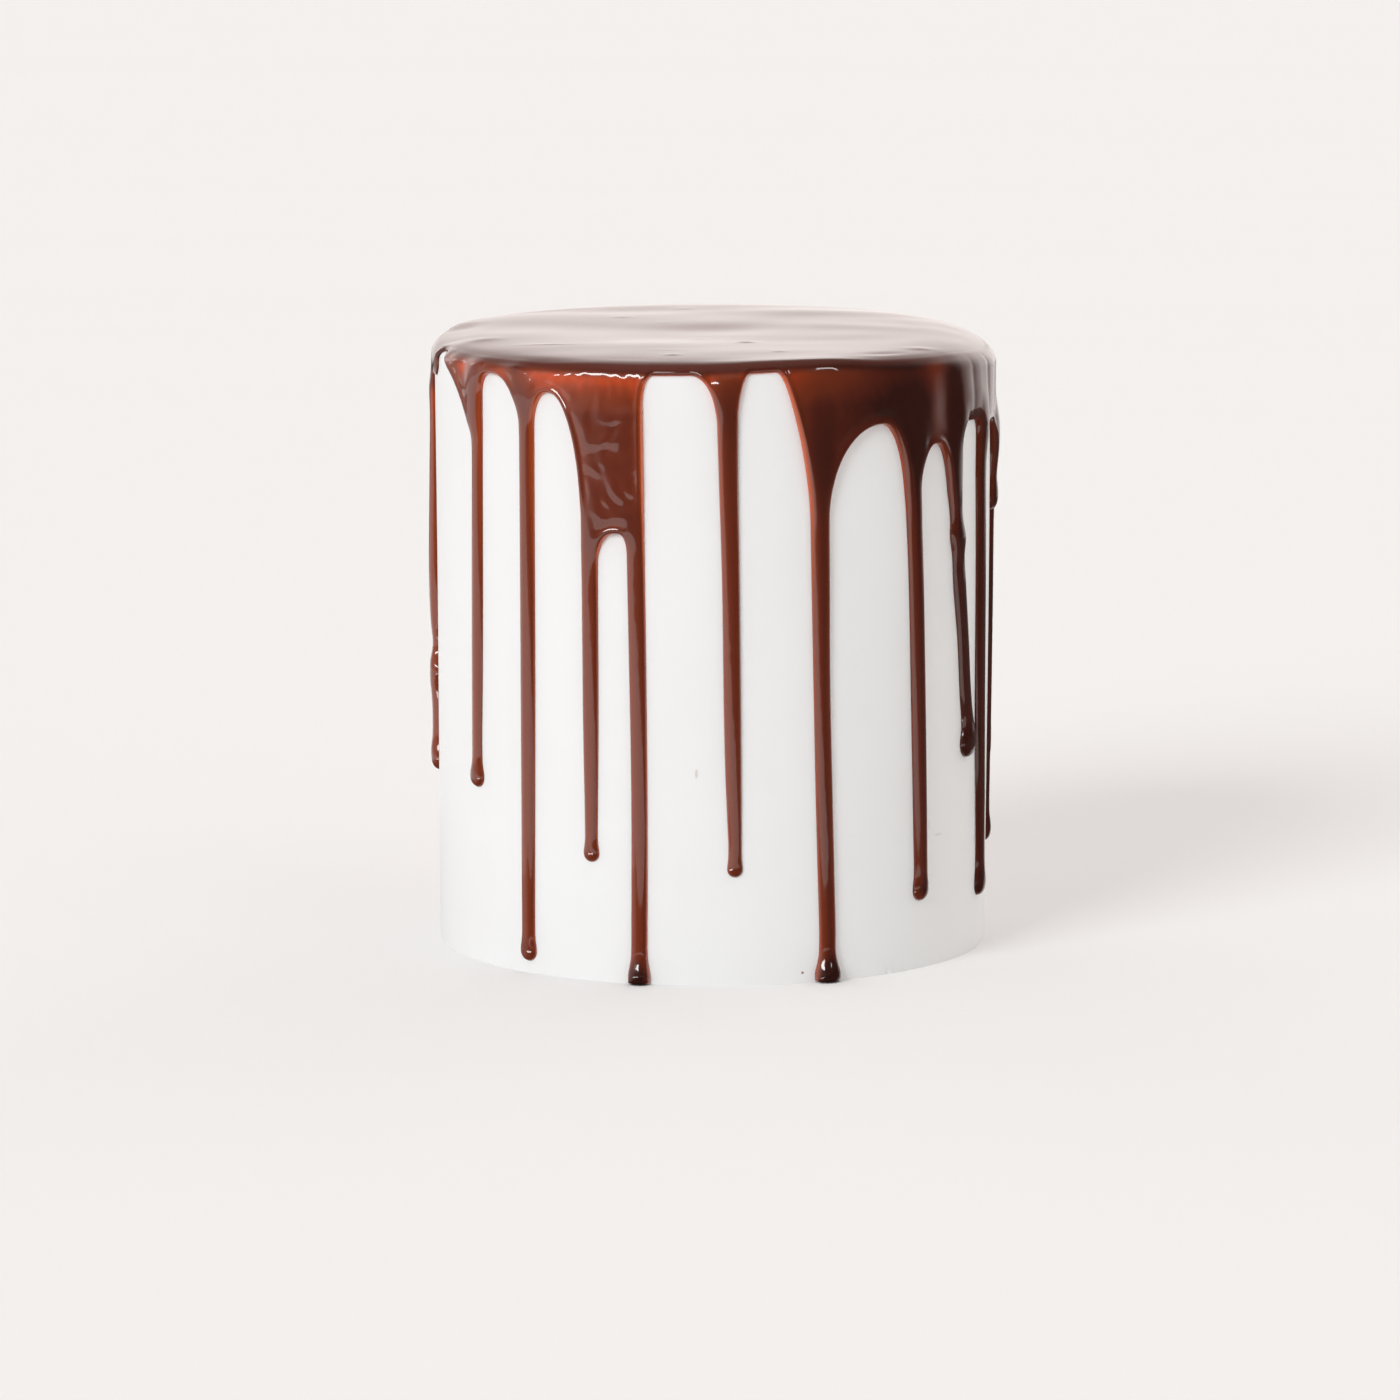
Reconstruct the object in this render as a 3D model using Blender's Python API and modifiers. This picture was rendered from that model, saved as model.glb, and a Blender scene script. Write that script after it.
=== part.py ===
"""A tall round cake in smooth white frosting, under a pool of chocolate that runs down its side in drips.

Metres, +Z up. The origin is the middle of the cake's flat base, and its front faces -Y.
An azimuth is in degrees, 0 at the front and growing towards +X.
"""

from collections import namedtuple
from math import atan2, cos, degrees, exp, hypot, pi, radians, sin, sqrt

import bmesh
import bpy

# The frosted cake
BASE_RADIUS = 0.0744
TOP_RADIUS = 0.0752
CAKE_HEIGHT = 0.1625
TOP_EDGE_ROUND = 0.0020
TOP_RINGS = (0.058, 0.064, 0.070)

# Where the top edge stands lower: the azimuth, the fall there and its spread in degrees
EDGE_FALLS = ((93.0, 0.0030, 27.0), (-92.0, 0.0014, 24.0))
FALL_RADIUS = 0.057
FALL_HEIGHT = 0.150

# The chocolate pool and its lip
CREST_HEIGHT = 0.1649
POOL_FALL = 0.0006
LIP_RADIUS = 0.0763
LIP_ROUND = 0.00115
POOL_RINGS = ((0.055, 0.25), (0.064, 0.45), (0.071, 0.75))
POOL_DEPTH = 0.0020
POOL_INSET = 0.0040

# The sheet of chocolate under the lip, and the rolled edge round each opening in it
SHEET_THICKNESS = 0.0012
SHEET_FOOT = 0.1080
SHEET_DEPTH = 0.0030
LIP_OVERHANG = 0.0005
BEAD_RADIUS = 0.0012
BEAD_RISE = 0.0003
BEAD_INSET = 0.0011
OPENING_LIMIT = 0.1626
OPENING_REACH = 0.004
CUTTER_HALF_DEPTH = 0.010

# How the drips lie on the wall
GAP = 0.0003
SINK_SHARE = 0.2
FADE_LENGTH = 0.009
FADE_RISE = 0.003
POINT_SPACING = 0.020
FOOT_CLEARANCE = 0.0005
FOOT_FLARE = 0.0035
SWELL_LENGTH = 0.0045
BULB_TURNS = (25, 55, 90)
BULB_RISES = (1.7, 2.8)
FOOT_RISES = (1.0, 2.5)
SWELL_STEPS = (-1.6, -0.8, 0.0, 0.8, 1.6)
CORE_REACH = 0.010

# Facets
TURN_STEPS = 96
FLANK_STEPS = 6
ROUND_STEPS = 4
DRIP_BEVEL = 2
BEAD_BEVEL = 2
WELD_DISTANCE = 0.000002
AXIS_MERGE = 0.00001
CLOSEST_POINTS = 0.00005
CRISP_ANGLE = 42

# One drip: its azimuth under the lip and at its tip, its half width, the height of its tip,
# and the half width of the bulb there, or of the foot of a drip that reaches the base
Drip = namedtuple("Drip", "top tip half_width end bulb")

# The opening on the +X side of a drip: the azimuths where its crest starts and stops, its height,
# the fall of each flank before it meets the drip beside it, and how square its shoulders are
Opening = namedtuple("Opening", "start stop height left_fall right_fall power")

RUNS = [
    (Drip(-92.3, -92.6, 0.0021, 0.0450, 0.0031), Opening(-89.6, -89.2, 0.1580, 0.005, 0.004, 2.0)),
    (Drip(-85.0, -85.6, 0.0024, 0.1530, 0.0027), Opening(-76.0, -70.8, 0.1622, 0.006, 0.021, 2.0)),
    (Drip(-55.6, -57.6, 0.0022, 0.0475, 0.0028), Opening(-51.4, -50.5, 0.1597, 0.006, 0.013, 2.0)),
    (Drip(-40.5, -41.1, 0.0024, 0.0032, 0.0027), Opening(-35.2, -34.6, 0.1559, 0.009, 0.034, 2.0)),
    (Drip(-25.6, -25.6, 0.0023, 0.0320, 0.0023), Opening(-20.0, -19.0, 0.1198, 0.008, 0.005, 2.0)),
    (Drip(-15.9, -15.1, 0.0024, 0.0000, 0.0029), Opening(-12.2, -4.7, 0.1620, 0.008, 0.013, 2.0)),
    (Drip(2.5, 4.5, 0.0024, 0.0291, 0.0021), Opening(7.1, 12.6, 0.1622, 0.010, 0.038, 1.6)),
    (Drip(20.9, 24.5, 0.0025, 0.0000, 0.0036), Opening(35.2, 35.8, 0.1475, 0.024, 0.025, 2.0)),
    (Drip(43.2, 48.3, 0.0026, 0.0184, 0.0028), Opening(50.8, 51.2, 0.1410, 0.013, 0.024, 2.0)),
    (Drip(55.0, 67.0, 0.0027, 0.0540, 0.0039), Opening(64.6, 66.4, 0.1450, 0.009, 0.008, 2.0)),
    (Drip(70.9, 75.0, 0.0026, 0.0144, 0.0032), Opening(78.5, 80.5, 0.1430, 0.010, 0.012, 2.0)),
    (Drip(88.3, 89.4, 0.0027, 0.1170, 0.0036), Opening(91.9, 92.1, 0.1390, 0.005, 0.005, 2.0)),
    (Drip(94.5, 95.0, 0.0022, 0.0245, 0.0028), Opening(101.0, 104.0, 0.1500, 0.016, 0.014, 2.0)),
    (Drip(110.0, 111.0, 0.0024, 0.0660, 0.0028), Opening(115.5, 118.0, 0.1470, 0.017, 0.021, 2.0)),
    (Drip(124.5, 126.5, 0.0026, 0.0120, 0.0031), Opening(129.5, 137.0, 0.1618, 0.024, 0.012, 1.8)),
    (Drip(141.5, 141.0, 0.0023, 0.0890, 0.0027), Opening(145.8, 148.0, 0.1560, 0.011, 0.026, 2.0)),
    (Drip(156.0, 157.0, 0.0025, 0.0370, 0.0029), Opening(161.0, 162.5, 0.1360, 0.014, 0.018, 2.0)),
    (Drip(168.0, 167.0, 0.0024, 0.0000, 0.0032), Opening(173.0, 181.5, 0.1619, 0.022, 0.010, 2.0)),
    (Drip(186.5, 188.0, 0.0022, 0.0580, 0.0026), Opening(191.5, 194.0, 0.1580, 0.009, 0.018, 2.0)),
    (Drip(201.5, 200.5, 0.0025, 0.0220, 0.0030), Opening(207.5, 208.5, 0.1510, 0.022, 0.030, 1.9)),
    (Drip(216.0, 216.0, 0.0023, 0.0750, 0.0027), Opening(220.5, 222.0, 0.1300, 0.010, 0.009, 2.0)),
    (Drip(226.5, 225.5, 0.0024, 0.0080, 0.0028), Opening(231.5, 239.0, 0.1620, 0.016, 0.014, 1.8)),
    (Drip(244.5, 245.5, 0.0024, 0.0400, 0.0028), Opening(250.5, 254.5, 0.1590, 0.012, 0.016, 2.0)),
]

# Where a drip swells on its way down: its place in RUNS, the height, and what it gains on each side
SWELLS = {0: (0.0735, 0.0009), 11: (0.1370, 0.0007)}

FROSTING_COLOUR = (0.86, 0.85, 0.82, 1.0)
CHOCOLATE_COLOUR = (0.055, 0.016, 0.009, 1.0)


def wall_radius(height):
    """The frosted wall's radius at a height."""
    return BASE_RADIUS + (TOP_RADIUS - BASE_RADIUS) * height / CAKE_HEIGHT


def wall_point(azimuth, height, out=0.0):
    """The point at an azimuth and a height, out from the frosted wall."""
    radius = wall_radius(height) + out
    angle = radians(azimuth)
    return (radius * sin(angle), -radius * cos(angle), height)


def material(name, colour, roughness):
    """A Principled material."""
    made = bpy.data.materials.new(name)
    made.use_nodes = True
    shader = made.node_tree.nodes["Principled BSDF"]
    shader.inputs["Base Color"].default_value = colour
    shader.inputs["Roughness"].default_value = roughness
    shader.inputs["Metallic"].default_value = 0.0
    return made


def turned(name, profile, collection):
    """A solid turned round Z from (radius, height) points that run down its outer side.

    A profile that starts on the axis ends on it. Any other closes on its first point, as a ring.
    """
    mesh = bpy.data.meshes.new(name)
    corners = [(radius, 0.0, height) for radius, height in profile]
    edges = [(i, i + 1) for i in range(len(corners) - 1)]
    if profile[0][0] > 0.0:
        edges.append((len(corners) - 1, 0))
    mesh.from_pydata(corners, edges, [])
    made = bpy.data.objects.new(name, mesh)
    collection.objects.link(made)
    screw = made.modifiers.new("Turn", "SCREW")
    screw.angle = 2 * pi
    screw.steps = TURN_STEPS
    screw.render_steps = TURN_STEPS
    screw.use_merge_vertices = True
    screw.merge_threshold = AXIS_MERGE
    return made


def as_mesh(source, collection):
    """A mesh object of what source evaluates to, welded and with its facets kept closed. Source is removed."""
    bpy.context.view_layer.update()
    evaluated = source.evaluated_get(bpy.context.evaluated_depsgraph_get())
    mesh = bpy.data.meshes.new_from_object(evaluated)
    name = source.name
    place = source.matrix_world.copy()
    bpy.data.objects.remove(source)
    work = bmesh.new()
    work.from_mesh(mesh)
    bmesh.ops.remove_doubles(work, verts=work.verts, dist=WELD_DISTANCE)
    bmesh.ops.recalc_face_normals(work, faces=work.faces)
    work.to_mesh(mesh)
    work.free()
    made = bpy.data.objects.new(name, mesh)
    made.matrix_world = place
    collection.objects.link(made)
    return made


def combine(target, operation, operand, solver="EXACT"):
    """A Boolean of target with an object, or with all the objects of a collection."""
    boolean = target.modifiers.new(operation.title(), "BOOLEAN")
    boolean.operation = operation
    boolean.solver = solver
    if isinstance(operand, bpy.types.Collection):
        boolean.operand_type = "COLLECTION"
        boolean.collection = operand
    else:
        boolean.object = operand


def empty_out(collection):
    """Removes a collection and its objects."""
    for member in list(collection.objects):
        bpy.data.objects.remove(member)
    bpy.data.collections.remove(collection)


def share(value, first, last):
    """0 at first and 1 at last, with no kink at either."""
    part = min(max((value - first) / (last - first), 0.0), 1.0)
    return part * part * (3 - 2 * part)


def settle(made):
    """Lowers the top edge where the shoulder of the cake stands lower. The middle and the wall stay."""
    for vertex in made.data.vertices:
        x, y, height = vertex.co
        azimuth = degrees(atan2(x, -y))
        fall = sum(
            depth * exp(-((((azimuth - middle + 180) % 360 - 180) / spread) ** 2))
            for middle, depth, spread in EDGE_FALLS
        )
        outward = share(hypot(x, y), FALL_RADIUS, TOP_RADIUS)
        vertex.co.z = height - fall * outward * share(height, FALL_HEIGHT, CAKE_HEIGHT)
    return made


def round_profile(radius, height, size, first, last, steps):
    """Points of an arc of the given size about (radius, height), between two angles in degrees."""
    angles = [radians(first + (last - first) * i / steps) for i in range(steps + 1)]
    return [(radius + size * cos(angle), height + size * sin(angle)) for angle in angles]


def cake_profile(grow, foot):
    """The cake's outline from its top down, grown by a distance and reaching down to the height foot."""
    shoulder = round_profile(
        TOP_RADIUS - TOP_EDGE_ROUND, CAKE_HEIGHT - TOP_EDGE_ROUND, TOP_EDGE_ROUND + grow, 90, 0, ROUND_STEPS
    )
    top = [(radius, CAKE_HEIGHT + grow) for radius in (0.0, *TOP_RINGS)]
    return top + shoulder + [(BASE_RADIUS + grow, foot), (0.0, foot)]


def pool_profile():
    """The chocolate on top, from its middle out over the rounded lip, and back inside the cake."""
    lip_top = CREST_HEIGHT - POOL_FALL
    inside = CAKE_HEIGHT - POOL_DEPTH
    surface = [(0.0, CREST_HEIGHT)] + [(radius, CREST_HEIGHT - POOL_FALL * part) for radius, part in POOL_RINGS]
    lip = round_profile(LIP_RADIUS - LIP_ROUND, lip_top - LIP_ROUND, LIP_ROUND, 90, -80, 2 * ROUND_STEPS)
    return surface + lip + [(TOP_RADIUS - POOL_INSET, inside), (0.0, inside)]


def sheet_profile():
    """The ring that the openings are cut from, from inside the lip down to its foot and back up inside the cake."""
    inner = BASE_RADIUS - SHEET_DEPTH
    top = CREST_HEIGHT - 2 * LIP_ROUND
    return [
        (inner, top),
        (TOP_RADIUS + SHEET_THICKNESS - LIP_OVERHANG, top),
        (wall_radius(SHEET_FOOT) + SHEET_THICKNESS, SHEET_FOOT),
        (inner, SHEET_FOOT),
    ]


def drip_azimuth(drip, height):
    """The azimuth of a drip's middle line at a height."""
    return drip.top + (drip.tip - drip.top) * (CAKE_HEIGHT - height) / (CAKE_HEIGHT - drip.end)


def drip_radius(index, height):
    """A drip's half width at a height: a bulb at the tip, or a flared foot at the base, under an even run."""
    drip = RUNS[index][0]
    above = height - drip.end
    swell_height, swell = SWELLS.get(index, (0.0, 0.0))
    run = drip.half_width + swell * exp(-(((height - swell_height) / SWELL_LENGTH) ** 2))
    if drip.end == 0.0:
        return run + (drip.bulb - drip.half_width) * exp(-above / FOOT_FLARE)
    if above < drip.bulb:
        return sqrt(drip.bulb**2 - (drip.bulb - above) ** 2)
    return run + (drip.bulb - drip.half_width) * exp(-(((above - drip.bulb) / drip.bulb) ** 2))


def drip_heights(index, top):
    """The heights of a drip's control points, close together in its bulb, foot or swell and even elsewhere."""
    drip = RUNS[index][0]
    if drip.end == 0.0:
        low = [FOOT_CLEARANCE] + [FOOT_FLARE * rise for rise in FOOT_RISES]
    else:
        low = [drip.end + drip.bulb * (1 - cos(radians(turn))) for turn in BULB_TURNS]
        low += [drip.end + drip.bulb * rise for rise in BULB_RISES]
    shoulder = top - FADE_LENGTH
    low = [height for height in low if height < (shoulder + top) / 2]
    run = max(shoulder - low[-1], 0.0)
    count = max(1, round(run / POINT_SPACING))
    even = [low[-1] + run * i / count for i in range(1, count + 1) if run > 0.0]
    if index in SWELLS:
        middle = SWELLS[index][0]
        even = [height for height in even if abs(height - middle) > 2 * SWELL_LENGTH]
        even += [middle + SWELL_LENGTH * step for step in SWELL_STEPS]
    return low + sorted(even) + [top]


def tube(name, points, radii, bevel, collection):
    """A closed round tube through points, with a radius at each."""
    curve = bpy.data.curves.new(name, "CURVE")
    curve.dimensions = "3D"
    curve.bevel_depth = 1.0
    curve.bevel_resolution = bevel
    curve.use_fill_caps = True
    spline = curve.splines.new("POLY")
    spline.points.add(len(points) - 1)
    for place, point, radius in zip(spline.points, points, radii):
        place.co = (*point, 1.0)
        place.radius = radius
    made = bpy.data.objects.new(name, curve)
    collection.objects.link(made)
    return as_mesh(made, collection)


def drip_top(index):
    """The height where a drip fades into the sheet, a little above the lower of its two openings."""
    lower = min(RUNS[index - 1][1].height, RUNS[index][1].height)
    top = min(lower + FADE_RISE, CAKE_HEIGHT - FADE_RISE / 2)
    return max(top, RUNS[index][0].end + FADE_LENGTH)


def drip_solid(index, collection):
    """One drip, half sunk in the wall, which fades into the sheet at its top."""
    drip = RUNS[index][0]
    top = drip_top(index)
    heights = drip_heights(index, top)
    radii = [drip_radius(index, height) for height in heights]
    points = []
    for height, radius in zip(heights, radii):
        sink = drip.half_width - SHEET_THICKNESS / 2 if height == top else SINK_SHARE * radius
        points.append(wall_point(drip_azimuth(drip, height), height, -sink))
    tube(f"drip_{index}", points, radii, DRIP_BEVEL, collection)


def opening_edge(drip, side, height):
    """The azimuth of the line that an opening's edge bead follows down a drip, on its -X or +X side."""
    across = drip.half_width - BEAD_INSET
    return drip_azimuth(drip, height) + side * degrees(across / wall_radius(height))


def flank(opening, index, side, turn):
    """Points of (azimuth, height) from an opening's crest down to a drip at its -X or +X side.

    The flank is a quarter of a superellipse. From its foot the edge runs on down the drip to where the drip
    stands out of the sheet. A drip reached past the last of the runs is a whole turn further round.
    """
    drip = RUNS[index][0]
    drip = drip._replace(top=drip.top + turn, tip=drip.tip + turn)
    crest = opening.start if side > 0 else opening.stop
    fall = opening.left_fall if side > 0 else opening.right_fall
    points = []
    for i in range(FLANK_STEPS + 1):
        angle = pi / 2 * i / FLANK_STEPS
        drop = fall * (1 - max(cos(angle), 0.0) ** (2 / opening.power))
        height = opening.height + BEAD_INSET - drop
        edge = opening_edge(drip, side, height)
        points.append((crest + (edge - crest) * sin(angle) ** (2 / opening.power), height))
    foot = points[-1][1]
    merge = drip_top(index) - FADE_LENGTH
    steps = int((foot - merge) / POINT_SPACING) + 1
    if foot - merge > FADE_RISE:
        for i in range(1, steps + 1):
            height = foot + (merge - foot) * i / steps
            points.append((opening_edge(drip, side, height), height))
    return points


def opening_path(index):
    """An opening's outline from the foot of one flank over its crest to the foot of the other."""
    following = (index + 1) % len(RUNS)
    opening = RUNS[index][1]
    left = flank(opening, index, 1, 0)
    right = flank(opening, following, -1, 360 if following == 0 else 0)
    return left[::-1] + right


def opening_foot(index, side, foot):
    """The lowest points of an opening's outline at a drip: past the drip's middle where a drip ends in the sheet."""
    drip = RUNS[index][0]
    below = SHEET_FOOT - OPENING_REACH
    if drip.end < SHEET_FOOT:
        return [(foot[0], below)]
    level = min(foot[1] - BEAD_RADIUS, drip.end + drip.bulb / 2)
    past = foot[0] - side * degrees((drip.half_width - BEAD_INSET + BEAD_RADIUS) / TOP_RADIUS)
    return [(foot[0], level), (past, level), (past, below)]


def opening_cutter(index, collection):
    """A prism that cuts one opening out of the sheet, along the radius through the opening's middle."""
    path = opening_path(index)
    middle = (path[0][0] + path[-1][0]) / 2
    outline = opening_foot(index, 1, path[0])[::-1]
    outline += [(azimuth, min(height, OPENING_LIMIT)) for azimuth, height in path]
    outline += opening_foot((index + 1) % len(RUNS), -1, path[-1])
    curve = bpy.data.curves.new(f"opening_{index}", "CURVE")
    curve.dimensions = "2D"
    curve.fill_mode = "BOTH"
    curve.extrude = CUTTER_HALF_DEPTH
    spline = curve.splines.new("POLY")
    flat = [(TOP_RADIUS * sin(radians(azimuth - middle)), height) for azimuth, height in outline]
    kept = [flat[0]] + [b for a, b in zip(flat, flat[1:]) if hypot(a[0] - b[0], a[1] - b[1]) > CLOSEST_POINTS]
    spline.points.add(len(kept) - 1)
    for place, (across, height) in zip(spline.points, kept):
        place.co = (across, height, 0.0, 1.0)
    spline.use_cyclic_u = True
    made = bpy.data.objects.new(f"opening_{index}", curve)
    angle = radians(middle)
    made.location = (TOP_RADIUS * sin(angle), -TOP_RADIUS * cos(angle), 0.0)
    made.rotation_euler = (pi / 2, 0.0, angle)
    collection.objects.link(made)
    cutter = as_mesh(made, collection)
    cutter.hide_render = True
    cutter.display_type = "WIRE"


def bead_solid(index, collection):
    """The rolled edge of chocolate over one opening."""
    path = opening_path(index)
    points = [wall_point(azimuth, height, BEAD_RISE) for azimuth, height in path]
    tube(f"bead_{index}", points, [BEAD_RADIUS] * len(points), BEAD_BEVEL, collection)


def chocolate(collection, workshop):
    """The pool, the sheet, its rolled edges and the drips, joined and fitted over the cake with a small gap."""
    openings = bpy.data.collections.new("openings")
    runs = bpy.data.collections.new("runs")
    workshop.children.link(openings)
    workshop.children.link(runs)
    for index in range(len(RUNS)):
        opening_cutter(index, openings)
        drip_solid(index, runs)
        bead_solid(index, runs)
    settle(as_mesh(turned("pool", pool_profile(), runs), runs))
    made = settle(as_mesh(turned("chocolate_drip", sheet_profile(), collection), collection))
    combine(made, "DIFFERENCE", openings)
    combine(made, "UNION", runs)
    core = settle(as_mesh(turned("cake_core", cake_profile(GAP, -CORE_REACH), workshop), workshop))
    core.hide_render = True
    core.display_type = "WIRE"
    combine(made, "DIFFERENCE", core, "MANIFOLD")
    made = as_mesh(made, collection)
    empty_out(openings)
    empty_out(runs)
    bpy.data.objects.remove(core)
    return made


def finish(made, surface):
    """Smooth shading with crisp corners, and the piece's material."""
    made.data.materials.clear()
    made.data.materials.append(surface)
    made.data.shade_smooth()
    made.data.set_sharp_from_angle(angle=radians(CRISP_ANGLE))


def main():
    """Clears the scene and builds the cake."""
    for present in list(bpy.data.objects):
        bpy.data.objects.remove(present)
    drip_cake = bpy.data.collections.new("drip_cake")
    workshop = bpy.data.collections.new("cutters")
    bpy.context.scene.collection.children.link(drip_cake)
    bpy.context.scene.collection.children.link(workshop)
    cake = settle(as_mesh(turned("frosted_cake", cake_profile(0.0, 0.0), drip_cake), drip_cake))
    finish(cake, material("white_frosting", FROSTING_COLOUR, 0.55))
    finish(chocolate(drip_cake, workshop), material("chocolate_ganache", CHOCOLATE_COLOUR, 0.22))


main()
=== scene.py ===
"""The looks of the drip cake: smooth white frosting, and glossy chocolate that runs over its edge.

Metres, +Z up, the front towards -Y. An azimuth is in degrees, 0 at the front and growing towards +X.
A climb is the length of the way up the frosted wall from its foot, round the top edge and on inwards.
"""

from collections import namedtuple
from math import ceil, cos, pi, radians, sin, tau

import bpy
import numpy as np
from mathutils.geometry import delaunay_2d_cdt
from mathutils.kdtree import KDTree
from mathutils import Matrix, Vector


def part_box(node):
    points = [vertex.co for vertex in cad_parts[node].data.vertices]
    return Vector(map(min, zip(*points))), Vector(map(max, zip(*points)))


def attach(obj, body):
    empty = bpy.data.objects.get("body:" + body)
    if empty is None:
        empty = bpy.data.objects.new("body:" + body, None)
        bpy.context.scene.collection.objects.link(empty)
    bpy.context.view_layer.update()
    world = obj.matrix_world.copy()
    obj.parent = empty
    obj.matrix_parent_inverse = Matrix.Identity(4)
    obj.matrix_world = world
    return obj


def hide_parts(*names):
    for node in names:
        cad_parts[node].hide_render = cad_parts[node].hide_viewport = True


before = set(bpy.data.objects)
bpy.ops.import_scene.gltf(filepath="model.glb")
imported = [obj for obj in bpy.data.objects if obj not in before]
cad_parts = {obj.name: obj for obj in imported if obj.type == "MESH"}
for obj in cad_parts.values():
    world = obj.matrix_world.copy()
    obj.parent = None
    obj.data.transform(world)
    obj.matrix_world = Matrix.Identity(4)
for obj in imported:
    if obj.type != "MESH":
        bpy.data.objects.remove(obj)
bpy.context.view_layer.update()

# The frosted cake
BASE_RADIUS = 0.0744
TOP_RADIUS = 0.0752
CAKE_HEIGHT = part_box("frosted_cake")[1].z
EDGE_ROUND = 0.0020
ROUND_START = CAKE_HEIGHT - EDGE_ROUND
ROUND_LENGTH = EDGE_ROUND * pi / 2
FLAT_START = ROUND_START + ROUND_LENGTH
POOL_RADIUS = 0.0672
POOL_START = FLAT_START + TOP_RADIUS - EDGE_ROUND - POOL_RADIUS

# Where the top edge stands lower, or higher: the azimuth, the fall there and its spread in degrees
EDGE_FALLS = ((93.0, 0.0030, 27.0), (-92.0, 0.0002, 24.0), (-64.0, 0.0005, 16.0), (19.0, -0.0014, 19.0))
FALL_RADIUS = 0.057
FALL_HEIGHT = 0.150

# How late the directions in which the chocolate rises turn up, round the top edge
TILT_POWER = 1.9

# How a drip ends
FOOT_CLEARANCE = 0.0005
FOOT_FLARE = 0.0036
FOOT_SWELL = 0.45
FOOT_WIDEST = 0.0018
BULB_JOIN = 4

# A drip: stations of (height, azimuth, half width) down its run, the height of its tip, and the half width
# of the bulb there, or of the foot of a drip that reaches the base
Drip = namedtuple("Drip", "stations end bulb")

# The opening on the +X side of a drip: the azimuths where its crest starts and stops, its height,
# the fall of each flank before it meets the drip beside it, and how square its shoulders are
Opening = namedtuple("Opening", "start stop height left_fall right_fall power")

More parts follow.
